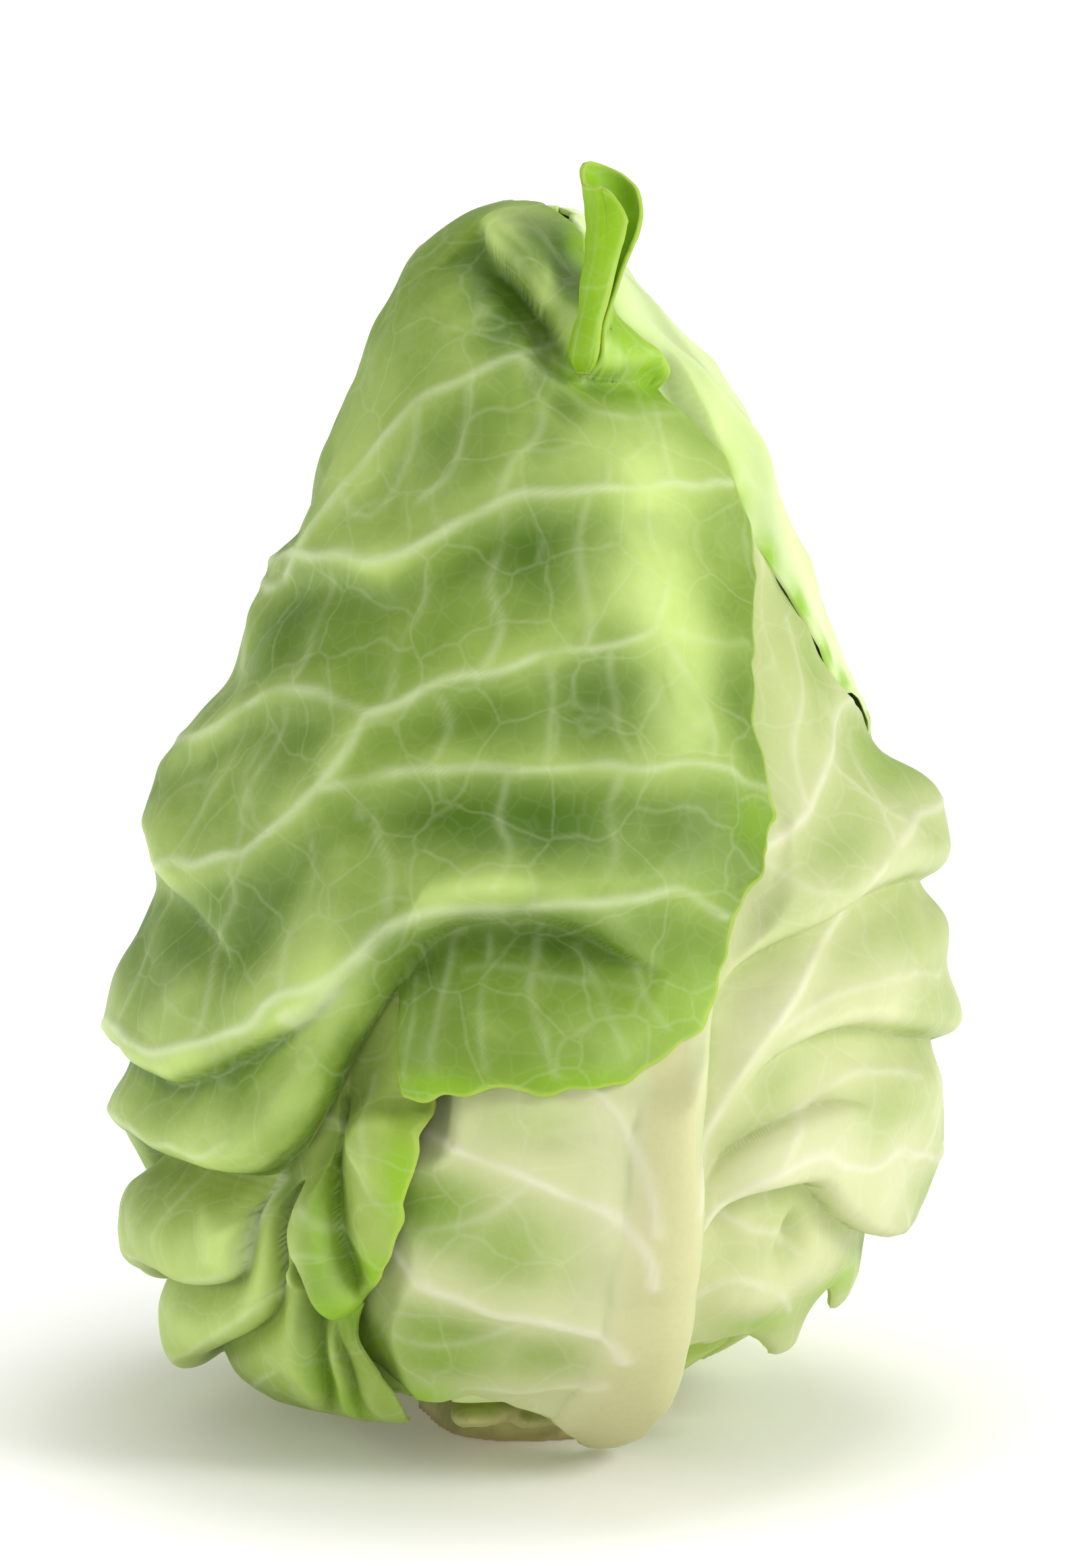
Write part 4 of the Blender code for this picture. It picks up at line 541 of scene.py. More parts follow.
# The leaves from the outermost inwards: each is pressed in under the ones before it.
LEAVES = {"front_leaf": FRONT_LEAF, "side_leaf": SIDE_LEAF, "low_leaf": LOW_LEAF, "rib_leaf": RIB_LEAF}
CHARTS = {}

TIP_FINE_GRID = (110, 90)
TIP_VEINS = 0.3
TIP_VEIN_COUNT = 5
TIP_FOOT = 0.16
HEART_FINE_GRID = (300, 130)
# How far the side leaf's front margin is tucked in over the ribbed leaf.
SIDE_TUCK = 0.7
# Painted shade in a crease is darkest where the crease lies this deep below its surroundings, so many cells
# each way, and a ridge as high gets the most painted highlight.
CREASE_SHADE_CELLS = 6
CREASE_SHADE_DEPTH = 1.3
VEIN_REACH = 12.0
VEIN_LEAST = 0.55
VEIN_TAPER = 0.55
VEIN_WANDER = 1.3
HALO_WIDTH = 3.2
EDGE_REACH = 12.0
# Wavelengths of a blade's unevenness, in millimetres.
BROAD_WAVE, FINE_WAVE, EDGE_WAVE, CUSHION_WAVE, RAGGED_WAVE = 22.0, 9.0, 13.0, 5.0, 4.5

CAMERA_AIM = (-0.0023, 0.0, 0.107)
CAMERA_ELEVATION = math.radians(10)
CAMERA_DISTANCE = 1.1
CAMERA_LENS = 150.1
ROOM_LIGHT = 0.5
# Lamps as name, place, size, power and colour.
LAMPS = (
    ("light_left", (-1.2, -0.3, 0.35), (0.5, 0.8), 4.2, (1.0, 0.99, 0.97)),
    ("light_right", (1.0, -0.6, 0.75), (0.4, 0.5), 9.5, (1.0, 0.99, 0.97)),
    ("light_top", (0.2, 0.25, 1.3), (0.6, 0.6), 5.0, (1.0, 1.0, 1.0)),
)
# The floor is a lit table: its glow near the head and far from it, and the radii between which it grows.
FLOOR_RADIUS, FLOOR_HEIGHT = 6.0, -0.0002
FLOOR_GLOW_NEAR = (0.13, 0.12, 0.10, 1.0)
FLOOR_GLOW_FAR = (0.75, 0.75, 0.75, 1.0)
FLOOR_GLOW_REACH = (0.05, 0.2)


def hermite(at, knots, values):
    """A smooth curve through values at the knots, read at many places."""
    slopes = np.gradient(values, knots)
    i = np.clip(np.searchsorted(knots, at, side="right") - 1, 0, len(knots) - 2)
    width = knots[i + 1] - knots[i]
    s = (at - knots[i]) / width
    rise = (3 - 2 * s) * s * s
    return (
        values[i] * (1 - rise)
        + values[i + 1] * rise
        + width * s * (1 - s) * ((1 - s) * slopes[i] - s * slopes[i + 1])
    )


def skin_knots():
    """The rings as an array, the climb of each, and the whole climb's length in millimetres."""
    rings = np.array(SKIN_RINGS, float)
    steps = np.hypot(np.diff(rings[:, 0]), np.diff(rings[:, 1:].mean(axis=1)))
    climbs = np.concatenate([[0.0], np.cumsum(steps)])
    return rings, 100 * climbs / climbs[-1], climbs[-1]


RINGS, RING_CLIMBS, CLIMB_LENGTH = skin_knots()


def skin_point(azimuth, climb):
    """Points of the smooth skin, in millimetres."""
    height, left, front, right, back = (hermite(climb, RING_CLIMBS, RINGS[:, k]) for k in range(5))
    turn = np.radians(azimuth)
    reach = (
        (left + front + right + back) / 4
        + (front - back) / 2 * np.cos(turn)
        + (right - left) / 2 * np.sin(turn)
        + (front + back - right - left) / 4 * np.cos(2 * turn)
    )
    return np.stack([reach * np.sin(turn), -reach * np.cos(turn), height], axis=-1)


def skin_frame(azimuth, climb):
    """Points of the smooth skin and its outward normals."""
    azimuth, climb = np.broadcast_arrays(np.asarray(azimuth, float), np.asarray(climb, float))
    nudge = 0.4
    low, high = np.maximum(climb - nudge, 0), np.minimum(climb + nudge, 100)
    across = skin_point(azimuth + nudge, climb) - skin_point(azimuth - nudge, climb)
    up = skin_point(azimuth, high) - skin_point(azimuth, low)
    normal = np.cross(across, up)
    normal /= np.linalg.norm(normal, axis=-1, keepdims=True)
    return skin_point(azimuth, climb), normal


def through(points, steps=CURVE_STEPS):
    """A smooth open curve through given points, as an array."""
    knots = np.array(points, float)
    places = np.linspace(0, len(knots) - 1, steps * (len(knots) - 1) + 1)
    index = np.arange(len(knots), dtype=float)
    return np.stack([hermite(places, index, knots[:, k]) for k in range(knots.shape[1])], axis=-1)


def by_length(points, shares):
    """The smooth curve through points, read at shares of its length along the skin."""
    curve = through(points)
    placed = skin_point(curve[:, 0], curve[:, 1])
    steps = np.linalg.norm(np.diff(placed, axis=0), axis=1)
    length = np.concatenate([[0.0], np.cumsum(steps)])
    return np.stack([np.interp(shares * length[-1], length, curve[:, k]) for k in range(2)], axis=-1)


def outline_grid(leaf, across, upward):
    """Azimuth and climb of every point of a leaf, spread between its four outline runs."""
    u = 1 - (1 - np.linspace(0, 1, across)) ** leaf["crowd"][0]
    v = np.linspace(0, 1, upward) ** leaf["crowd"][1]
    bottom, top = by_length(leaf["bottom"], u), by_length(leaf["top"], u)
    left, right = by_length(leaf["left"], v), by_length(leaf["right"], v)
    u, v = u[:, None, None], v[None, :, None]
    spread = (
        (1 - v) * bottom[:, None]
        + v * top[:, None]
        + (1 - u) * left[None]
        + u * right[None]
        - (1 - u) * (1 - v) * bottom[0]
        - u * (1 - v) * bottom[-1]
        - (1 - u) * v * top[0]
        - u * v * top[-1]
    )
    return spread[..., 0], spread[..., 1]


def along_line(points, line, reach=REACH):
    """For each point near a line on the skin: its signed distance, left of the travel positive, and
    the line's strength there."""
    curve = through(line)
    placed, normals = skin_frame(curve[:, 0], curve[:, 1])
    near = np.all((points > placed.min(axis=0) - reach) & (points < placed.max(axis=0) + reach), axis=-1)
    asked = points[near]
    best = np.full(len(asked), np.inf)
    side, strength = np.ones(len(asked)), np.zeros(len(asked))
    for k in range(len(placed) - 1):
        run = placed[k + 1] - placed[k]
        share = np.clip((asked - placed[k]) @ run / (run @ run), 0, 1)
        away = asked - placed[k] - share[:, None] * run
        distance = (away**2).sum(axis=1)
        closer = distance < best
        best[closer] = distance[closer]
        leftward = np.cross(normals[k], run)
        side[closer] = np.where(away[closer] @ leftward >= 0, 1.0, -1.0)
        strength[closer] = (curve[k, 2] + share * (curve[k + 1, 2] - curve[k, 2]))[closer]
    distance, power = np.full(points.shape[:-1], 1e3), np.zeros(points.shape[:-1])
    distance[near] = np.sqrt(best) * side
    power[near] = np.maximum(strength, 0)
    return distance, power


def fold_height(distance, fold):
    """A rolled lip over a crease: a quarter round up from the crease, then a long fall."""
    inside = np.clip(distance / fold["lip"], 0, 1)
    round_up = np.sqrt(1 - (1 - inside) ** 2)
    past = np.maximum(distance - fold["lip"], 0) / fold["above"]
    raised = -fold["sink"] + (fold["sink"] + fold["rise"] * np.exp(-(past**2))) * round_up
    sunk = -fold["sink"] * np.exp(-((distance / fold["below"]) ** 2))
    return np.where(distance >= 0, raised, sunk)


def pleat_height(distance, pleat):
    """A soft crest with a quick fall on its lower side and a slow rise after it."""
    if pleat["flip"]:
        distance = -distance
    upper = pleat["rise"] * np.exp(-((distance / pleat["above"]) ** 2))
    fall = (pleat["rise"] + pleat["sink"]) * np.exp(-((distance / pleat["step"]) ** 2))
    hollow = pleat["sink"] * np.exp(-((distance / pleat["below"]) ** 2))
    return np.where(distance >= 0, upper, fall - hollow)


def oval(points, azimuth, climb, wide, tall):
    """A soft oval patch round a place of the skin, 1 at its middle, with half sizes in millimetres."""
    turn = math.radians(azimuth)
    flat = points - skin_point(float(azimuth), float(climb))
    sideways = flat @ np.array([math.cos(turn), math.sin(turn), 0])
    rest = np.maximum((flat**2).sum(axis=-1) - sideways**2, 0)
    return np.exp(-((sideways / wide) ** 2) - rest / tall**2)


def leaf_height(leaf, azimuth, climb):
    """How far the leaf stands off the skin, in millimetres, before the layers over it press it in."""
    points = skin_point(azimuth, climb)
    height = np.full(azimuth.shape, float(leaf["lift"]))
    for kind, shape in (("folds", fold_height), ("pleats", pleat_height)):
        for crease in leaf[kind]:
            distance, strength = along_line(points, crease["line"])
            height += strength * shape(distance, crease)
    for place_azimuth, place_climb, depth, wide, tall in leaf["dents"]:
        height += depth * oval(points, place_azimuth, place_climb, wide, tall)
    return height


def read_map(chart, azimuth, climb):
    """A value of the chart at each place, between its cells."""
    column = np.mod(azimuth, 360) / 360 * MAP_AZIMUTHS
    row = np.clip(climb / 100 * (MAP_CLIMBS - 1), 0, MAP_CLIMBS - 1.001)
    c, r = np.floor(column).astype(int), np.floor(row).astype(int)
    s, t = column - c, row - r
    c, d = c % MAP_AZIMUTHS, (c + 1) % MAP_AZIMUTHS
    low = chart[r, c] * (1 - s) + chart[r, d] * s
    high = chart[r + 1, c] * (1 - s) + chart[r + 1, d] * s
    return low * (1 - t) + high * t


def shifted(chart, axis, reach):
    """The chart moved each way along an axis: round and round in azimuth, held at the ends in climb."""
    if axis == 1:
        return [np.roll(chart, k, axis=1) for k in range(-reach, reach + 1)]
    rows = np.arange(len(chart))
    return [chart[np.clip(rows + k, 0, len(chart) - 1)] for k in range(-reach, reach + 1)]


def pressed(height, ceiling):
    """The lower of two heights, with a soft change from one to the other."""
    return -PRESS_SOFTNESS * np.logaddexp(-height / PRESS_SOFTNESS, -ceiling / PRESS_SOFTNESS)


def lower_ceiling(ceiling, azimuth, climb, height):
    """The chart of room left under a leaf, with a margin round it that fades to open sky."""
    chart = np.full((MAP_CLIMBS, MAP_AZIMUTHS), OPEN_SKY)
    row = np.clip(np.rint(climb / 100 * (MAP_CLIMBS - 1)).astype(int), 0, MAP_CLIMBS - 1)
    column = np.rint(np.mod(azimuth, 360)).astype(int) % MAP_AZIMUTHS
    np.minimum.at(chart, (row, column), height)
    chart -= LAYER_STEP
    for axis in (0, 1):
        chart = np.minimum.reduce(shifted(chart, axis, MAP_SPREAD))
    for axis in (0, 1, 0, 1):
        chart = np.mean(shifted(chart, axis, MAP_SOFTEN), axis=0)
    return np.minimum(ceiling, chart)


def rolled_tip_points(around, upward):
    """The rolled tip as a grid: round its spiral section, then up its spine."""
    turn = np.linspace(TIP_SEAM, TIP_END, around)[:, None]
    opened = np.clip((TIP_FLARE_START - turn) / (TIP_FLARE_START - TIP_END), 0, 1)
    opened = np.maximum(opened, 0.6 * np.clip(turn / TIP_SEAM, 0, 1))
    rim = hermite(turn, *np.array(TIP_RIM, float).T)
    share = np.linspace(0, 1, upward) * rim
    knots = np.linspace(0, 1, len(TIP_SPINE))
    spine = np.stack([hermite(share, knots, np.array(TIP_SPINE)[:, k]) for k in range(3)], axis=-1)
    radius = hermite(share, knots, np.array(TIP_RADIUS, float))
    flare = np.maximum(hermite(share, knots, np.array(TIP_FLARE, float)), 0)
    reach = radius + flare * opened
    angle = np.radians(turn)
    hood = np.maximum(share - 0.8, 0)[..., None] ** 2 / 0.04 * np.array(TIP_HOOD)
    wound = np.stack([reach * np.sin(angle), -reach * np.cos(angle), np.zeros(reach.shape)], axis=-1)
    return spine + wound + hood


def patches(points, places):
    """The strongest of several soft oval patches at each point."""
    value = np.zeros(points.shape[:-1])
    for azimuth, climb, wide, tall, strength in places:
        centre = skin_point(float(azimuth), float(climb))
        wide_mm = math.radians(wide) * math.hypot(centre[0], centre[1])
        tall_mm = tall * CLIMB_LENGTH / 100
        value = np.maximum(value, strength * oval(points, azimuth, climb, wide_mm, tall_mm))
    return value


def vein_masks(points, veins):
    """The veins' cores and the paler bands round them, each from 0 to 1."""
    core, halo = np.zeros(points.shape[:-1]), np.zeros(points.shape[:-1])
    wander = VEIN_WANDER * np.stack([ripples(points, FINE_WAVE, 71.0 + 5 * k) for k in range(3)], axis=-1)
    points = points + wander
    for width, *line in veins:
        last = len(line) - 1
        tapered = [(a, c, 1 - VEIN_TAPER * k / last) for k, (a, c) in enumerate(line)]
        distance, share = along_line(points, tapered, VEIN_REACH)
        share = np.where(share > 0, share, 1)
        strength = min(1.0, 0.58 * width - 0.12) * share**0.5
        core = np.maximum(core, strength * np.exp(-((distance / (VEIN_LEAST + 0.3 * width * share)) ** 2)))
        halo = np.maximum(halo, strength * np.exp(-((distance / (HALO_WIDTH + width)) ** 2)))
    return core, halo


def softened(grid, cells):
    """A grid averaged over a square that reaches this many cells each way."""
    for axis in (0, 1):
        room = [(cells, cells) if k == axis else (0, 0) for k in (0, 1)]
        padded = np.pad(grid, room, mode="edge")
        length, count = grid.shape[axis], 2 * cells + 1
        grid = sum(np.take(padded, range(k, k + length), axis=axis) for k in range(count)) / count
    return grid


def ripples(points, wave, seed):
    """Smooth noise of about one wavelength, in -1 to 1, at each point."""
    flat = points.reshape(-1, 3) / wave + seed
    return np.array([noise.noise(Vector(p)) for p in flat.tolist()]).reshape(points.shape[:-1])


def edge_distance(points):
    """How far each point of a grid is from the grid's own edge, up to EDGE_REACH."""
    rim = np.concatenate([points[0], points[-1], points[:, 0], points[:, -1]])
    tree = KDTree(len(rim))
    for k, place in enumerate(rim.tolist()):
        tree.insert(place, k)
    tree.balance()
    away = [tree.find(p)[2] for p in points.reshape(-1, 3).tolist()]
    return np.minimum(np.array(away).reshape(points.shape[:-1]), EDGE_REACH)


def chart_over(name):
    """The chart of room left for a leaf by the leaves that lie over it."""
    if name not in CHARTS:
        ceiling = np.full((MAP_CLIMBS, MAP_AZIMUTHS), OPEN_SKY)
        for layer, leaf in LEAVES.items():
            CHARTS[layer] = ceiling
            azimuth, climb = outline_grid(leaf, 2 * MAP_AZIMUTHS, MAP_CLIMBS)
            height = pressed(leaf_height(leaf, azimuth, climb), read_map(ceiling, azimuth, climb))
            ceiling = lower_ceiling(ceiling, azimuth, climb, height)
        CHARTS["heart"] = ceiling
    return CHARTS[name]


def fine_leaf(name, sizes):
    """The leaf's outer face as a fine grid of points, and its finish masks."""
    leaf, finish = LEAVES[name], FINISHES[name]
    azimuth, climb = outline_grid(leaf, *finish["fine"])
    skin, normal = skin_frame(azimuth, climb)
    edge = edge_distance(skin)
    seed = list(LEAVES).index(name) * 7.3
    crumple = sizes.crumple / MM
    broad = ripples(skin, BROAD_WAVE, seed)
    fine = ripples(skin, FINE_WAVE, seed + 3)
    free = 1 - patches(skin, finish["rolled"])
    wavy = ripples(skin, EDGE_WAVE, seed + 5) * np.exp(-((edge / 7) ** 2)) * free
    height = leaf_height(leaf, azimuth, climb)
    smooth = height.copy()
    height = height + crumple * (1.4 * broad + fine) + sizes.edge_wave / MM * wavy
    rib = np.zeros(edge.shape)
    if name == "rib_leaf":
        away, half = along_line(skin, MIDRIB, 40.0)
        share = np.abs(away) / np.maximum(half, 0.5)
        rib = np.clip(1.6 - 1.3 * share, 0, 1)
        rib = rib * rib * (3 - 2 * rib)
        height += sizes.rib_height / MM * np.sqrt(np.maximum(1 - share**2, 0)) * np.minimum(half / 4, 1)
    height = pressed(height, read_map(chart_over(name), azimuth, climb))
    if name == "side_leaf":
        height -= SIDE_TUCK * (1 - free)
    # How far each point lies below the blade round it: it paints shade into creases and a highlight onto
    # ridges.
    hollow = (softened(height, CREASE_SHADE_CELLS) - height) / CREASE_SHADE_DEPTH
    core, halo = vein_masks(skin, finish["veins"])
    cushions = ripples(skin, CUSHION_WAVE, seed + 9)
    height += sizes.vein_height / MM * (core + 0.45 * halo) + 0.35 * crumple * cushions * (1 - halo)
    height -= 0.5 * np.exp(-((edge / 0.7) ** 2))
    ragged = np.stack([ripples(skin, RAGGED_WAVE, seed + 11 + k) for k in range(3)], axis=-1)
    ragged -= (ragged * normal).sum(axis=-1, keepdims=True) * normal
    ragged *= (sizes.ragged / MM * free * np.exp(-((edge / 3) ** 2)))[..., None]
    points = skin + normal * height[..., None] + ragged
    masks = {
        "vein": core,
        "halo": halo,
        "rib": rib,
        # deep: the deep patches, and painted shade in creases; pale: the pale patches, and a painted
        # highlight on ridges.
        "deep": np.maximum(patches(skin, finish["deep"]), finish["shade"] * np.clip(hollow, 0, 1)),
        "pale": np.maximum(patches(skin, finish["pale"]), 0.6 * np.clip(-hollow, 0, 1)),
        "bright": patches(skin, finish["bright"]),
        "edge": edge + EDGE_REACH * (1 - free),
        # crest: how far the blade's folds raise it, which the finish paints paler as a highlight.
        "crest": np.clip(smooth - leaf["lift"], -3, 3) / 3,
    }
    return points, masks


def grid_mesh(name, points, masks, wrap=False):
    """A mesh over a grid of points in millimetres, with one smooth value a point for each mask."""
    across, upward = points.shape[:2]
    index = np.arange(across * upward).reshape(across, upward)
    if wrap:
        index = np.vstack([index, index[:1]])
    faces = np.stack([index[:-1, :-1], index[1:, :-1], index[1:, 1:], index[:-1, 1:]], axis=-1)
    mesh = bpy.data.meshes.new(name)
    mesh.from_pydata((points.reshape(-1, 3) * MM).tolist(), [], faces.reshape(-1, 4).tolist())
    for mask, values in masks.items():
        layer = mesh.attributes.new(mask, "FLOAT", "POINT")
        layer.data.foreach_set("value", values.reshape(-1).astype(np.float32))
    mesh.update()
    mesh.shade_smooth()
    return mesh


def thickened(obj, rim_only):
    """Gives a sheet its thickness inwards: both faces, or only the rim of one that is seen from outside."""
    solidify = obj.modifiers.new("thickness", "SOLIDIFY")
    solidify.thickness = bpy.context.scene.cabbage_sizes.leaf_thickness
    solidify.offset = -1.0
    solidify.use_rim_only = rim_only


def dressed(obj, material, node):
    """Puts a finished piece in the frame in place of its CAD node."""
    obj.data.materials.clear()
    obj.data.materials.append(material)
    bpy.context.scene.collection.objects.link(obj)
    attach(obj, BODY)
    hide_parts(node)


class Nodes:
    """Short calls for building a node tree."""

    def __init__(self, tree):
        self.tree = tree

    def add(self, kind, values=(), **settings):
        node = self.tree.nodes.new(kind)
        for key, value in settings.items():
            setattr(node, key, value)
        for key, value in dict(values).items():
            self.feed(node.inputs[key], value)
        return node

    def feed(self, socket, value):
        if isinstance(value, bpy.types.NodeSocket):
            self.tree.links.new(value, socket)
        else:
            socket.default_value = value

    def math(self, operation, first, second=0.0, clamp=False):
        node = self.add("ShaderNodeMath", {0: first, 1: second}, operation=operation, use_clamp=clamp)
        return node.outputs[0]

    def plus(self, first, second, clamp=False):
        return self.math("ADD", first, second, clamp)

    def times(self, first, second, clamp=False):
        return self.math("MULTIPLY", first, second, clamp)

    def vector_math(self, operation, first, values=()):
        return self.add("ShaderNodeVectorMath", {0: first, **dict(values)}, operation=operation).outputs

    def place(self):
        return self.add("ShaderNodeTexCoord").outputs["Object"]

    def noise(self, place, scale, detail, output="Fac"):
        node = self.add("ShaderNodeTexNoise", {"Vector": place, "Scale": scale, "Detail": detail})
        return node.outputs[output]

    def ramp(self, value, low, high, out_low=0.0, out_high=1.0):
        node = self.add(
            "ShaderNodeMapRange",
            {"Value": value, "From Min": low, "From Max": high, "To Min": out_low, "To Max": out_high},
            interpolation_type="SMOOTHSTEP",
        )
        return node.outputs["Result"]

    def mix(self, share, first, second):
        node = self.add("ShaderNodeMix", {6: first, 7: second}, data_type="RGBA")
        self.feed(node.inputs["Factor"], share)
        return node.outputs[2]

    def attribute(self, name):
        return self.add("ShaderNodeAttribute", attribute_name=name).outputs["Fac"]


def shared_group(name, inputs, outputs, build):
    """A shader node group with named value sockets, built once and found again after that."""
    if name in bpy.data.node_groups:
        return bpy.data.node_groups[name]
    tree = bpy.data.node_groups.new(name, "ShaderNodeTree")
    for label, default in inputs.items():
        socket = tree.interface.new_socket(label, in_out="INPUT", socket_type="NodeSocketFloat")
        socket.default_value = default
    for label in outputs:
        tree.interface.new_socket(label, in_out="OUTPUT", socket_type="NodeSocketFloat")
    n = Nodes(tree)
    made = build(n, n.add("NodeGroupInput").outputs)
    n.add("NodeGroupOutput", dict(zip(outputs, made)))
    return tree


def vein_network(n, given):
    """Fine veins: a wandering net of lines with soft cushions between them."""
    place = n.place()
    drift = n.noise(place, 70.0, 2.0, "Color")
    centred = n.vector_math("SUBTRACT", drift, {1: (0.5, 0.5, 0.5)})[0]
    shift = n.vector_math("SCALE", centred, {"Scale": given["Wander"]})[0]
    moved = n.vector_math("ADD", place, {1: shift})[0]
    cells = {"Vector": moved, "Scale": given["Cells per metre"]}
    away = n.add("ShaderNodeTexVoronoi", cells, feature="DISTANCE_TO_EDGE").outputs["Distance"]
    lines = n.math("SUBTRACT", 1.0, n.math("DIVIDE", away, given["Line width"]), clamp=True)
    return lines, n.math("POWER", n.times(away, 2.0, clamp=True), 0.6)


def waxy_bloom(n, given):
    """The dull waxy bloom that lies in clouds over a leaf, with the leaf's roughness and fine grain."""
    place = n.place()
    scale = n.math("DIVIDE", 1.0, given["Cloud size"])
    cloudy = {"Vector": place, "Scale": scale, "Detail": 4.0, "Roughness": 0.6}
    clouds = n.add("ShaderNodeTexNoise", cloudy).outputs["Fac"]
    bloom = n.times(n.ramp(clouds, 0.35, 0.75), given["Amount"])
    rough = n.plus(given["Smooth"], n.times(clouds, 0.16))
    return bloom, rough, n.noise(place, 900.0, 3.0)


# The shared groups: name, inputs with their defaults, outputs and builder.
NETWORK = (
    "Vein network", {"Cells per metre": 110.0, "Line width": 0.06, "Wander": 0.004}, ("Lines", "Cushions"),
    vein_network,
)
BLOOM = (
    "Waxy bloom", {"Cloud size": 0.02, "Amount": 0.1, "Smooth": 0.36}, ("Bloom", "Roughness", "Grain"),
    waxy_bloom,
)


def placed_group(n, group, values):
    """A shared group in a material, with the material's own values; gives the group's outputs."""
    return n.add("ShaderNodeGroup", values, node_tree=shared_group(*group)).outputs


def tint(colour, factor):
    return (*(min(1.0, c * factor) for c in colour[:3]), 1.0)


def new_material(name):
    """A new material, its node builder and its shader."""
    material = bpy.data.materials.new(name)
    material.use_nodes = True
    return material, Nodes(material.node_tree), material.node_tree.nodes["Principled BSDF"]


def bumped(n, shader, height, strength):
    bump = n.add("ShaderNodeBump", {"Height": height, "Strength": strength, "Distance": 0.0005})
    n.feed(shader.inputs["Normal"], bump.outputs[0])


def fleshy(shader, radius):
    """Lets a little light into the flesh."""
    shader.inputs["Subsurface Weight"].default_value = 0.1
    shader.inputs["Subsurface Radius"].default_value = radius
    shader.inputs["Subsurface Scale"].default_value = 0.0015


def leaf_material(name, tints, ribbed=False):
    """A leaf's finish: three greens, the deep one also painted shade in creases and the pale one also a
    painted highlight on crests, creamy veins, a bright thin margin and a waxy bloom.
    """
    if name in bpy.data.materials:
        return bpy.data.materials[name]
    colours = bpy.context.scene.cabbage_colours
    base, deep, pale = (tuple(getattr(colours, tone)) for tone in tints)
    vein = tuple(colours.rib_vein if ribbed else colours.vein)
    material, n, shader = new_material(name)
    net = placed_group(n, NETWORK, {"Cells per metre": 74.0, "Line width": 0.035, "Wander": 0.009})
    fine = placed_group(n, NETWORK, {"Cells per metre": 270.0, "Line width": 0.09, "Wander": 0.002})
    wax = placed_group(n, BLOOM, {"Cloud size": 0.03, "Amount": 0.03, "Smooth": 0.42})
    uneven = n.ramp(n.noise(n.place(), 34.0, 5.0), 0.3, 0.7, -0.18, 0.18)
    # The pale colour goes where the blade is raised, as a painted highlight, and where its tone is unevenly
    # lighter.
    light = n.plus(uneven, n.times(n.attribute("crest"), 0.3))
    colour = n.mix(n.plus(n.attribute("pale"), light, clamp=True), base, pale)
    # The deep colour is painted shade in creases as well as the darker green of the deep patches.
    colour = n.mix(n.plus(n.attribute("deep"), n.times(uneven, -0.5), clamp=True), colour, deep)
    colour = n.mix(n.attribute("bright"), colour, tuple(colours.bright))
    quiet = n.math("SUBTRACT", 1.0, n.attribute("rib"), clamp=True)
    halo = n.times(n.attribute("halo"), 0.6 if ribbed else 0.28)
    colour = n.mix(n.times(halo, quiet), colour, pale)
    for lines, share in ((net["Lines"], 0.11), (fine["Lines"], 0.04)):
        colour = n.mix(n.times(n.times(lines, share), quiet), colour, vein)
    if ribbed:
        cream = n.mix(n.ramp(wax["Grain"], 0.4, 0.65), tuple(colours.rib), tint(colours.rib, 0.97))
        colour = n.mix(n.times(n.attribute("rib"), 0.9), colour, cream)
    colour = n.mix(n.times(n.attribute("vein"), 0.68), colour, vein)
    colour = n.mix(n.ramp(n.attribute("edge"), 0.3, 0.9, 0.6, 0.0), colour, tuple(colours.margin))
    colour = n.mix(wax["Bloom"], colour, tuple(colours.bloom))
    n.feed(shader.inputs["Base Color"], colour)
    n.feed(shader.inputs["Roughness"], wax["Roughness"])
    relief = n.times(n.plus(n.times(net["Cushions"], 0.7), n.times(fine["Cushions"], 0.25)), quiet)
    bumped(n, shader, n.plus(relief, n.times(wax["Grain"], 0.06)), 0.35)
    shader.inputs["Specular IOR Level"].default_value = 0.28
    fleshy(shader, (0.5, 1.0, 0.2))
    return material


def stalk_material(name, colour):
    """Pale woody flesh, browner at the cut and streaked along its length."""
    material, n, shader = new_material(name)
    place = n.place()
    clouds = n.noise(place, 160.0, 5.0)
    streak = n.add("ShaderNodeMapping", {"Vector": place, "Scale": (700.0, 700.0, 120.0)}).outputs[0]
    fibres = n.noise(streak, 1.0, 4.0)
    flesh = n.mix(n.ramp(clouds, 0.35, 0.7), tuple(colour), tint(colour, 0.82))
    flesh = n.mix(n.ramp(fibres, 0.5, 0.8, 0.0, 0.35), flesh, (0.40, 0.32, 0.10, 1.0))
    height = n.add("ShaderNodeSeparateXYZ", {0: place}).outputs["Z"]
    flesh = n.mix(n.ramp(height, 0.0, 0.0016, 0.6, 0.0), flesh, (0.30, 0.2, 0.07, 1.0))
    n.feed(shader.inputs["Base Color"], flesh)
    n.feed(shader.inputs["Roughness"], n.ramp(clouds, 0.2, 0.8, 0.45, 0.7))
    bumped(n, shader, fibres, 0.5)
    fleshy(shader, (1.0, 0.8, 0.4))
    return material


def floor_material(name, colour):
    """A plain pale studio floor with the faintest mottle."""
    material, n, shader = new_material(name)
    place = n.place()
    mottle = n.noise(place, 12.0, 3.0)
    n.feed(shader.inputs["Base Color"], n.mix(mottle, tuple(colour), tint(colour, 0.985)))
    glow = n.ramp(n.vector_math("LENGTH", place)["Value"], *FLOOR_GLOW_REACH)
    n.feed(shader.inputs["Emission Color"], n.mix(glow, FLOOR_GLOW_NEAR, FLOOR_GLOW_FAR))
    shader.inputs["Emission Strength"].default_value = 1.0
    shader.inputs["Roughness"].default_value = 0.7
    return material


def size_property(name, description, default, least=0.0):
    return bpy.props.FloatProperty(
        name=name, description=description, default=default, min=least, unit="LENGTH", precision=4
    )


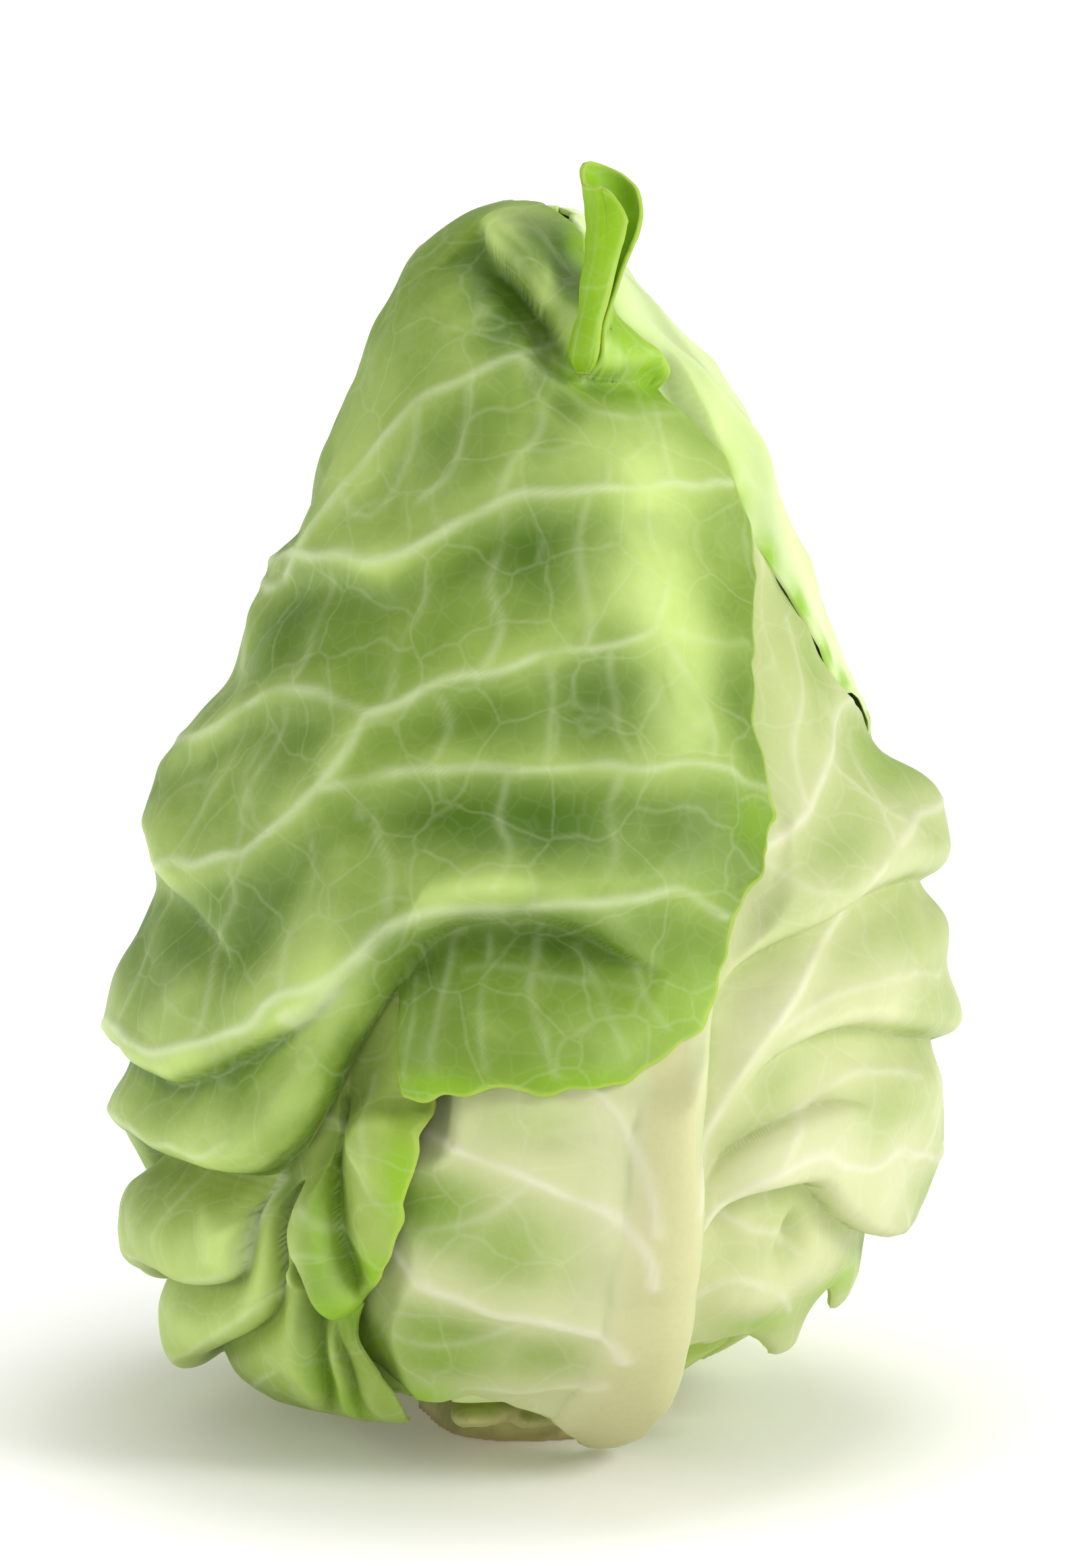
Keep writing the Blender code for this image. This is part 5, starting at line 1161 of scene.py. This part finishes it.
class CabbageSizes(bpy.types.PropertyGroup):
    leaf_thickness: size_property("Leaf thickness", "How thick a leaf is at its margin", 0.0008, 0.0003)
    vein_height: size_property("Vein height", "How far a main vein stands off the blade", 0.00055)
    crumple: size_property("Crumple", "Depth of the small unevenness of a blade", 0.0006)
    edge_wave: size_property("Edge wave", "How far a free margin waves in and out", 0.0013)
    ragged: size_property("Ragged margin", "How uneven the outline of a margin is", 0.0012)
    rib_height: size_property("Rib height", "How far the thick midrib rounds out of its blade", 0.0022)
    stalk_grain: size_property("Stalk grain", "Depth of the stalk's knobbly surface", 0.0007)


def colour_property(name, description, default):
    shown = (*default, 1.0)
    return bpy.props.FloatVectorProperty(
        name=name, description=description, default=shown, size=4, min=0.0, max=1.0, subtype="COLOR"
    )


class CabbageColours(bpy.types.PropertyGroup):
    leaf: colour_property("Leaf", "Mid green of the outer leaf", (0.172, 0.278, 0.028))
    leaf_pale: colour_property("Pale leaf", "Where the outer leaf is lit and thin", (0.52, 0.67, 0.19))
    # Also the painted shade in the creases of the outer, side and low leaves.
    leaf_deep_and_shade: colour_property("Deep leaf", "The hollows of the outer leaf", (0.055, 0.13, 0.0))
    inner: colour_property("Inner leaf", "Green of the leaf behind", (0.74, 0.87, 0.45))
    low: colour_property("Low leaf", "Green of the crumpled low leaf", (0.31, 0.42, 0.075))
    rib_blade: colour_property("Ribbed leaf", "Blade beside the thick rib", (0.50, 0.55, 0.25))
    # Also the painted shade in the ribbed leaf's creases.
    rib_green_and_shade: colour_property("Ribbed leaf's green", "Blotches of the ribbed leaf", (0.19, 0.32, 0.02))
    rib: colour_property("Midrib", "The thick rib", (0.555, 0.545, 0.28))
    vein: colour_property("Vein", "Main and fine veins", (0.64, 0.71, 0.45))
    # Also the painted highlight on the ribbed leaf's crests and ridges.
    rib_pale_and_highlight: colour_property("Ribbed leaf's pale parts", "Blade close to the thick rib", (0.61, 0.63, 0.36))
    rib_vein: colour_property("Ribbed leaf's vein", "Veins of the ribbed leaf", (0.73, 0.71, 0.56))
    bright: colour_property("Turned edge", "Young green where a margin turns out", (0.24, 0.46, 0.0))
    margin: colour_property("Margin", "The thin line of a leaf's edge", (0.38, 0.52, 0.07))
    bloom: colour_property("Bloom", "The dull wax on a leaf", (0.52, 0.58, 0.42))
    heart: colour_property("Heart", "The tight inner leaves", (0.50, 0.62, 0.16))
    stalk: colour_property("Stalk", "The cut stalk's flesh", (0.62, 0.59, 0.25))
    floor: colour_property("Floor", "The studio floor", (0.86, 0.86, 0.85))


def leaf_piece(name):
    """Makes one leaf's fine sheet and puts it in place of its CAD node."""
    finish = FINISHES[name]
    points, masks = fine_leaf(name, bpy.context.scene.cabbage_sizes)
    piece = bpy.data.objects.new(name + "_blade", grid_mesh(name + "_blade", points, masks))
    thickened(piece, rim_only=True)
    material = leaf_material(finish["material"], finish["tints"], ribbed=name == "rib_leaf")
    dressed(piece, material, name)


class CABBAGE_OT_front_leaf(bpy.types.Operator):
    """Make the big outer leaf that wraps the front and left"""

    bl_idname = "cabbage.front_leaf"
    bl_label = "Front leaf"

    def execute(self, context):
        leaf_piece("front_leaf")
        return {"FINISHED"}


class CABBAGE_OT_rolled_tip(bpy.types.Operator):
    """Make the rolled-up tip of the outer leaf"""

    bl_idname = "cabbage.rolled_tip"
    bl_label = "Rolled tip"

    def execute(self, context):
        points = rolled_tip_points(*TIP_FINE_GRID)
        edge = edge_distance(points)
        blank = np.zeros(TIP_FINE_GRID)
        around = np.linspace(0, 1, TIP_FINE_GRID[0])[:, None] + blank
        along = np.linspace(0, 1, TIP_FINE_GRID[1]) + blank
        off_vein = (np.mod(around * TIP_VEIN_COUNT + 0.5 * along, 1) - 0.5) / 0.06
        core = TIP_VEINS * np.exp(-(off_vein**2)) * (1 - along) ** 0.3
        foot = np.clip(1 - along / TIP_FOOT, 0, 1) ** 2
        middle = points.mean(axis=0, keepdims=True)
        points = middle + (points - middle) * (1 - 0.7 * foot)[..., None]
        points[..., 1] += 2.0 * foot
        uneven = ripples(points, 6.0, 31.0) * 0.45 + ripples(points, 2.6, 37.0) * 0.12
        outward = points - points.mean(axis=0, keepdims=True)
        outward[..., 2] = 0
        outward /= np.maximum(np.linalg.norm(outward, axis=-1, keepdims=True), 1e-6)
        points = points + outward * (uneven + 0.18 * core)[..., None]
        masks = {
            "vein": 0.35 * core, "halo": 0.4 * core, "rib": blank, "crest": blank, "pale": blank,
            "deep": 0.5 * np.clip(0.7 - 1.6 * along, 0, 1), "bright": np.clip(0.55 + 0.6 * along, 0, 1),
            "edge": edge,
        }
        piece = bpy.data.objects.new("front_leaf_tip", grid_mesh("front_leaf_tip", points, masks))
        thickened(piece, rim_only=False)
        finish = FINISHES["front_leaf"]
        dressed(piece, leaf_material(finish["material"], finish["tints"]), "front_leaf")
        return {"FINISHED"}


class CABBAGE_OT_side_leaf(bpy.types.Operator):
    """Make the leaf behind, which closes the right side, the top and the back"""

    bl_idname = "cabbage.side_leaf"
    bl_label = "Side leaf"

    def execute(self, context):
        leaf_piece("side_leaf")
        return {"FINISHED"}


class CABBAGE_OT_low_leaf(bpy.types.Operator):
    """Make the crumpled leaf at the lower left"""

    bl_idname = "cabbage.low_leaf"
    bl_label = "Low leaf"

    def execute(self, context):
        leaf_piece("low_leaf")
        return {"FINISHED"}


class CABBAGE_OT_rib_leaf(bpy.types.Operator):
    """Make the pale leaf with the thick midrib"""

    bl_idname = "cabbage.rib_leaf"
    bl_label = "Ribbed leaf"

    def execute(self, context):
        leaf_piece("rib_leaf")
        return {"FINISHED"}


class CABBAGE_OT_heart(bpy.types.Operator):
    """Make the tight heart inside the wrapper leaves"""

    bl_idname = "cabbage.heart"
    bl_label = "Heart"

    def execute(self, context):
        across, upward = HEART_FINE_GRID
        azimuth = np.linspace(0, 360, across, endpoint=False)[:, None] + np.zeros(upward)
        climb = np.zeros((across, 1)) + np.linspace(*HEART_SPAN, upward)
        winding = np.mod(HEART_LEAVES * azimuth / 360 + climb / 40, 1)
        room = read_map(chart_over("heart"), azimuth, climb)
        inset = np.maximum(HEART_GAP - room, 2 * LAYER_STEP) + HEART_RELIEF * winding
        crown = np.clip((climb - HEART_CROWN) / HEART_CROWN_SPAN, 0, 1)
        inset = inset * (1 - crown) + HEART_CROWN_GAP * crown
        points, normal = skin_frame(azimuth, climb)
        inset -= 0.4 * ripples(points, 12.0, 51.0)
        reach = np.hypot(points[..., 0], points[..., 1])
        inset /= np.hypot(normal[..., 0], normal[..., 1])
        points[..., :2] *= (np.maximum(reach - inset, HEART_LEAST) / reach)[..., None]
        blank = np.zeros(HEART_FINE_GRID)
        masks = {mask: blank for mask in ("vein", "halo", "rib", "pale", "crest")}
        masks["deep"], masks["bright"] = 0.5 * (1 - winding), 0.4 * winding
        masks["edge"] = EDGE_REACH * np.minimum(winding * 3, 1)
        mesh = grid_mesh("heart_leaves", points, masks, wrap=True)
        shape = bmesh.new()
        shape.from_mesh(mesh)
        bmesh.ops.holes_fill(shape, edges=[e for e in shape.edges if e.is_boundary], sides=0)
        bmesh.ops.recalc_face_normals(shape, faces=shape.faces[:])
        bmesh.ops.triangulate(shape, faces=[f for f in shape.faces if len(f.verts) > 4])
        shape.to_mesh(mesh)
        shape.free()
        material = leaf_material("heart_yellow_green", ("heart", "inner", "leaf_pale"))
        dressed(bpy.data.objects.new("heart_leaves", mesh), material, "heart")
        return {"FINISHED"}


class CABBAGE_OT_stalk(bpy.types.Operator):
    """Make the cut stalk with the stubs of the leaves that were snapped off"""

    bl_idname = "cabbage.stalk"
    bl_label = "Stalk"

    def execute(self, context):
        shape = bmesh.new()
        stalk_body(shape)
        for stub in STUBS:
            stalk_stub(shape, *stub)
        mesh = bpy.data.meshes.new("stalk_cut")
        shape.to_mesh(mesh)
        shape.free()
        helper = bpy.data.objects.new("stalk_helper", mesh)
        context.scene.collection.objects.link(helper)
        remesh = helper.modifiers.new("one body", "REMESH")
        remesh.mode = "VOXEL"
        remesh.voxel_size = STALK_VOXEL * MM
        smooth = helper.modifiers.new("soften", "SMOOTH")
        smooth.iterations = 4
        context.view_layer.update()
        graph = context.evaluated_depsgraph_get()
        body = bpy.data.meshes.new_from_object(helper.evaluated_get(graph))
        bpy.data.objects.remove(helper)
        count = len(body.vertices)
        places, normals = np.zeros(count * 3), np.zeros(count * 3)
        body.vertices.foreach_get("co", places)
        body.vertices.foreach_get("normal", normals)
        places, normals = places.reshape(-1, 3) / MM, normals.reshape(-1, 3)
        free = np.clip((places[:, 2] - 0.4) / 2, 0, 1)
        grain = context.scene.cabbage_sizes.stalk_grain / MM
        rough = ripples(places, 6.0, 61.0) + 0.5 * ripples(places, 2.4, 67.0)
        places += normals * (grain * free * rough)[:, None]
        places[:, 2] = np.maximum(places[:, 2], 0)
        body.vertices.foreach_set("co", (places * MM).reshape(-1))
        body.update()
        body.shade_smooth()
        piece = bpy.data.objects.new("stalk_cut", body)
        material = stalk_material("stalk_flesh", context.scene.cabbage_colours.stalk)
        dressed(piece, material, "stalk")
        return {"FINISHED"}


def stalk_body(shape):
    """The cut stump: a short cone of oval section."""
    made = bmesh.ops.create_cone(
        shape, cap_ends=True, segments=96, radius1=STALK_RADIUS * MM, radius2=0.72 * STALK_RADIUS * MM,
        depth=STALK_HEIGHT * MM,
    )
    for vertex in made["verts"]:
        turn = math.atan2(vertex.co.y, vertex.co.x)
        swell = 1 + STALK_OVAL * math.sin(3 * turn + 0.7) + STALK_OVAL / 2 * math.sin(5 * turn)
        vertex.co.x = vertex.co.x * swell + STALK_CENTRE[0] * MM
        vertex.co.y = vertex.co.y * swell + STALK_CENTRE[1] * MM
        vertex.co.z += STALK_HEIGHT / 2 * MM


def stalk_stub(shape, azimuth, climb, wide, tall):
    """One leaf stub: an oval arm from the stump's middle to the skin."""
    root = Vector((*STALK_CENTRE, STUB_ROOT_HEIGHT))
    end = Vector(skin_point(np.float64(azimuth), np.float64(climb)).tolist())
    along = end - root
    half_length = (along.length - STUB_INSET) / 2
    along.normalize()
    aside = Vector((-along.y, along.x, 0)).normalized()
    over = along.cross(aside)
    middle = root + along * half_length
    made = bmesh.ops.create_uvsphere(shape, u_segments=40, v_segments=24, radius=1.0)
    for vertex in made["verts"]:
        local = vertex.co
        placed = middle + along * local.x * half_length + aside * local.y * wide + over * local.z * tall
        vertex.co = placed * MM


def area_light(name, place, size, power, colour):
    """A soft lamp that points at the head."""
    data = bpy.data.lights.new(name, "AREA")
    data.shape = "RECTANGLE"
    data.size, data.size_y = size
    data.energy = power
    data.color = colour
    lamp = bpy.data.objects.new(name, data)
    lamp.location = place
    lamp.rotation_euler = (Vector(CAMERA_AIM) - Vector(place)).to_track_quat("-Z", "Y").to_euler()
    bpy.context.scene.collection.objects.link(lamp)


class CABBAGE_OT_stage(bpy.types.Operator):
    """Make the pale floor, the soft light and the camera"""

    bl_idname = "cabbage.stage"
    bl_label = "Stage"

    def execute(self, context):
        scene = context.scene
        shape = bmesh.new()
        bmesh.ops.create_circle(shape, cap_ends=True, segments=96, radius=FLOOR_RADIUS)
        mesh = bpy.data.meshes.new("studio_floor")
        shape.to_mesh(mesh)
        shape.free()
        floor = bpy.data.objects.new("studio_floor", mesh)
        floor.location.z = FLOOR_HEIGHT
        mesh.materials.append(floor_material("studio_floor", scene.cabbage_colours.floor))
        scene.collection.objects.link(floor)

        world = bpy.data.worlds.new("studio_light")
        world.use_nodes = True
        sky = world.node_tree.nodes["Background"]
        sky.inputs["Color"].default_value = (1.0, 1.0, 1.0, 1.0)
        n = Nodes(world.node_tree)
        seen = n.add("ShaderNodeLightPath").outputs["Is Camera Ray"]
        n.feed(sky.inputs["Strength"], n.ramp(seen, 0.0, 1.0, ROOM_LIGHT, 1.0))
        scene.world = world
        for lamp in LAMPS:
            area_light(*lamp)
        scene.view_settings.view_transform = "Standard"

        lens = bpy.data.cameras.new("photo_camera")
        lens.lens = CAMERA_LENS
        lens.sensor_width = 36.0
        lens.clip_start, lens.clip_end = 0.01, 50.0
        camera = bpy.data.objects.new("photo_camera", lens)
        aim = Vector(CAMERA_AIM)
        back = Vector((0, -math.cos(CAMERA_ELEVATION), math.sin(CAMERA_ELEVATION)))
        camera.location = aim + back * CAMERA_DISTANCE
        camera.rotation_euler = (-back).to_track_quat("-Z", "Y").to_euler()
        scene.collection.objects.link(camera)
        scene.camera = camera
        return {"FINISHED"}


OPERATORS = (
    CABBAGE_OT_front_leaf,
    CABBAGE_OT_rolled_tip,
    CABBAGE_OT_side_leaf,
    CABBAGE_OT_low_leaf,
    CABBAGE_OT_rib_leaf,
    CABBAGE_OT_heart,
    CABBAGE_OT_stalk,
    CABBAGE_OT_stage,
)


class CABBAGE_PT_panel(bpy.types.Panel):
    bl_label = "Pointed cabbage"
    bl_idname = "CABBAGE_PT_panel"
    bl_space_type = "VIEW_3D"
    bl_region_type = "UI"
    bl_category = "Cabbage"

    def draw(self, context):
        for group in (context.scene.cabbage_sizes, context.scene.cabbage_colours):
            column = self.layout.column()
            for prop in group.bl_rna.properties:
                if prop.identifier not in {"rna_type", "name"}:
                    column.prop(group, prop.identifier)
        for operator in OPERATORS:
            self.layout.operator(operator.bl_idname)


CLASSES = (CabbageSizes, CabbageColours, *OPERATORS, CABBAGE_PT_panel)


def register():
    for cls in CLASSES:
        bpy.utils.register_class(cls)
    bpy.types.Scene.cabbage_sizes = bpy.props.PointerProperty(type=CabbageSizes)
    bpy.types.Scene.cabbage_colours = bpy.props.PointerProperty(type=CabbageColours)


def unregister():
    del bpy.types.Scene.cabbage_colours
    del bpy.types.Scene.cabbage_sizes
    for cls in reversed(CLASSES):
        bpy.utils.unregister_class(cls)


def main():
    register()
    bpy.ops.cabbage.front_leaf()
    bpy.ops.cabbage.rolled_tip()
    bpy.ops.cabbage.side_leaf()
    bpy.ops.cabbage.low_leaf()
    bpy.ops.cabbage.rib_leaf()
    bpy.ops.cabbage.heart()
    bpy.ops.cabbage.stalk()
    bpy.ops.cabbage.stage()


if __name__ == "__main__":
    main()
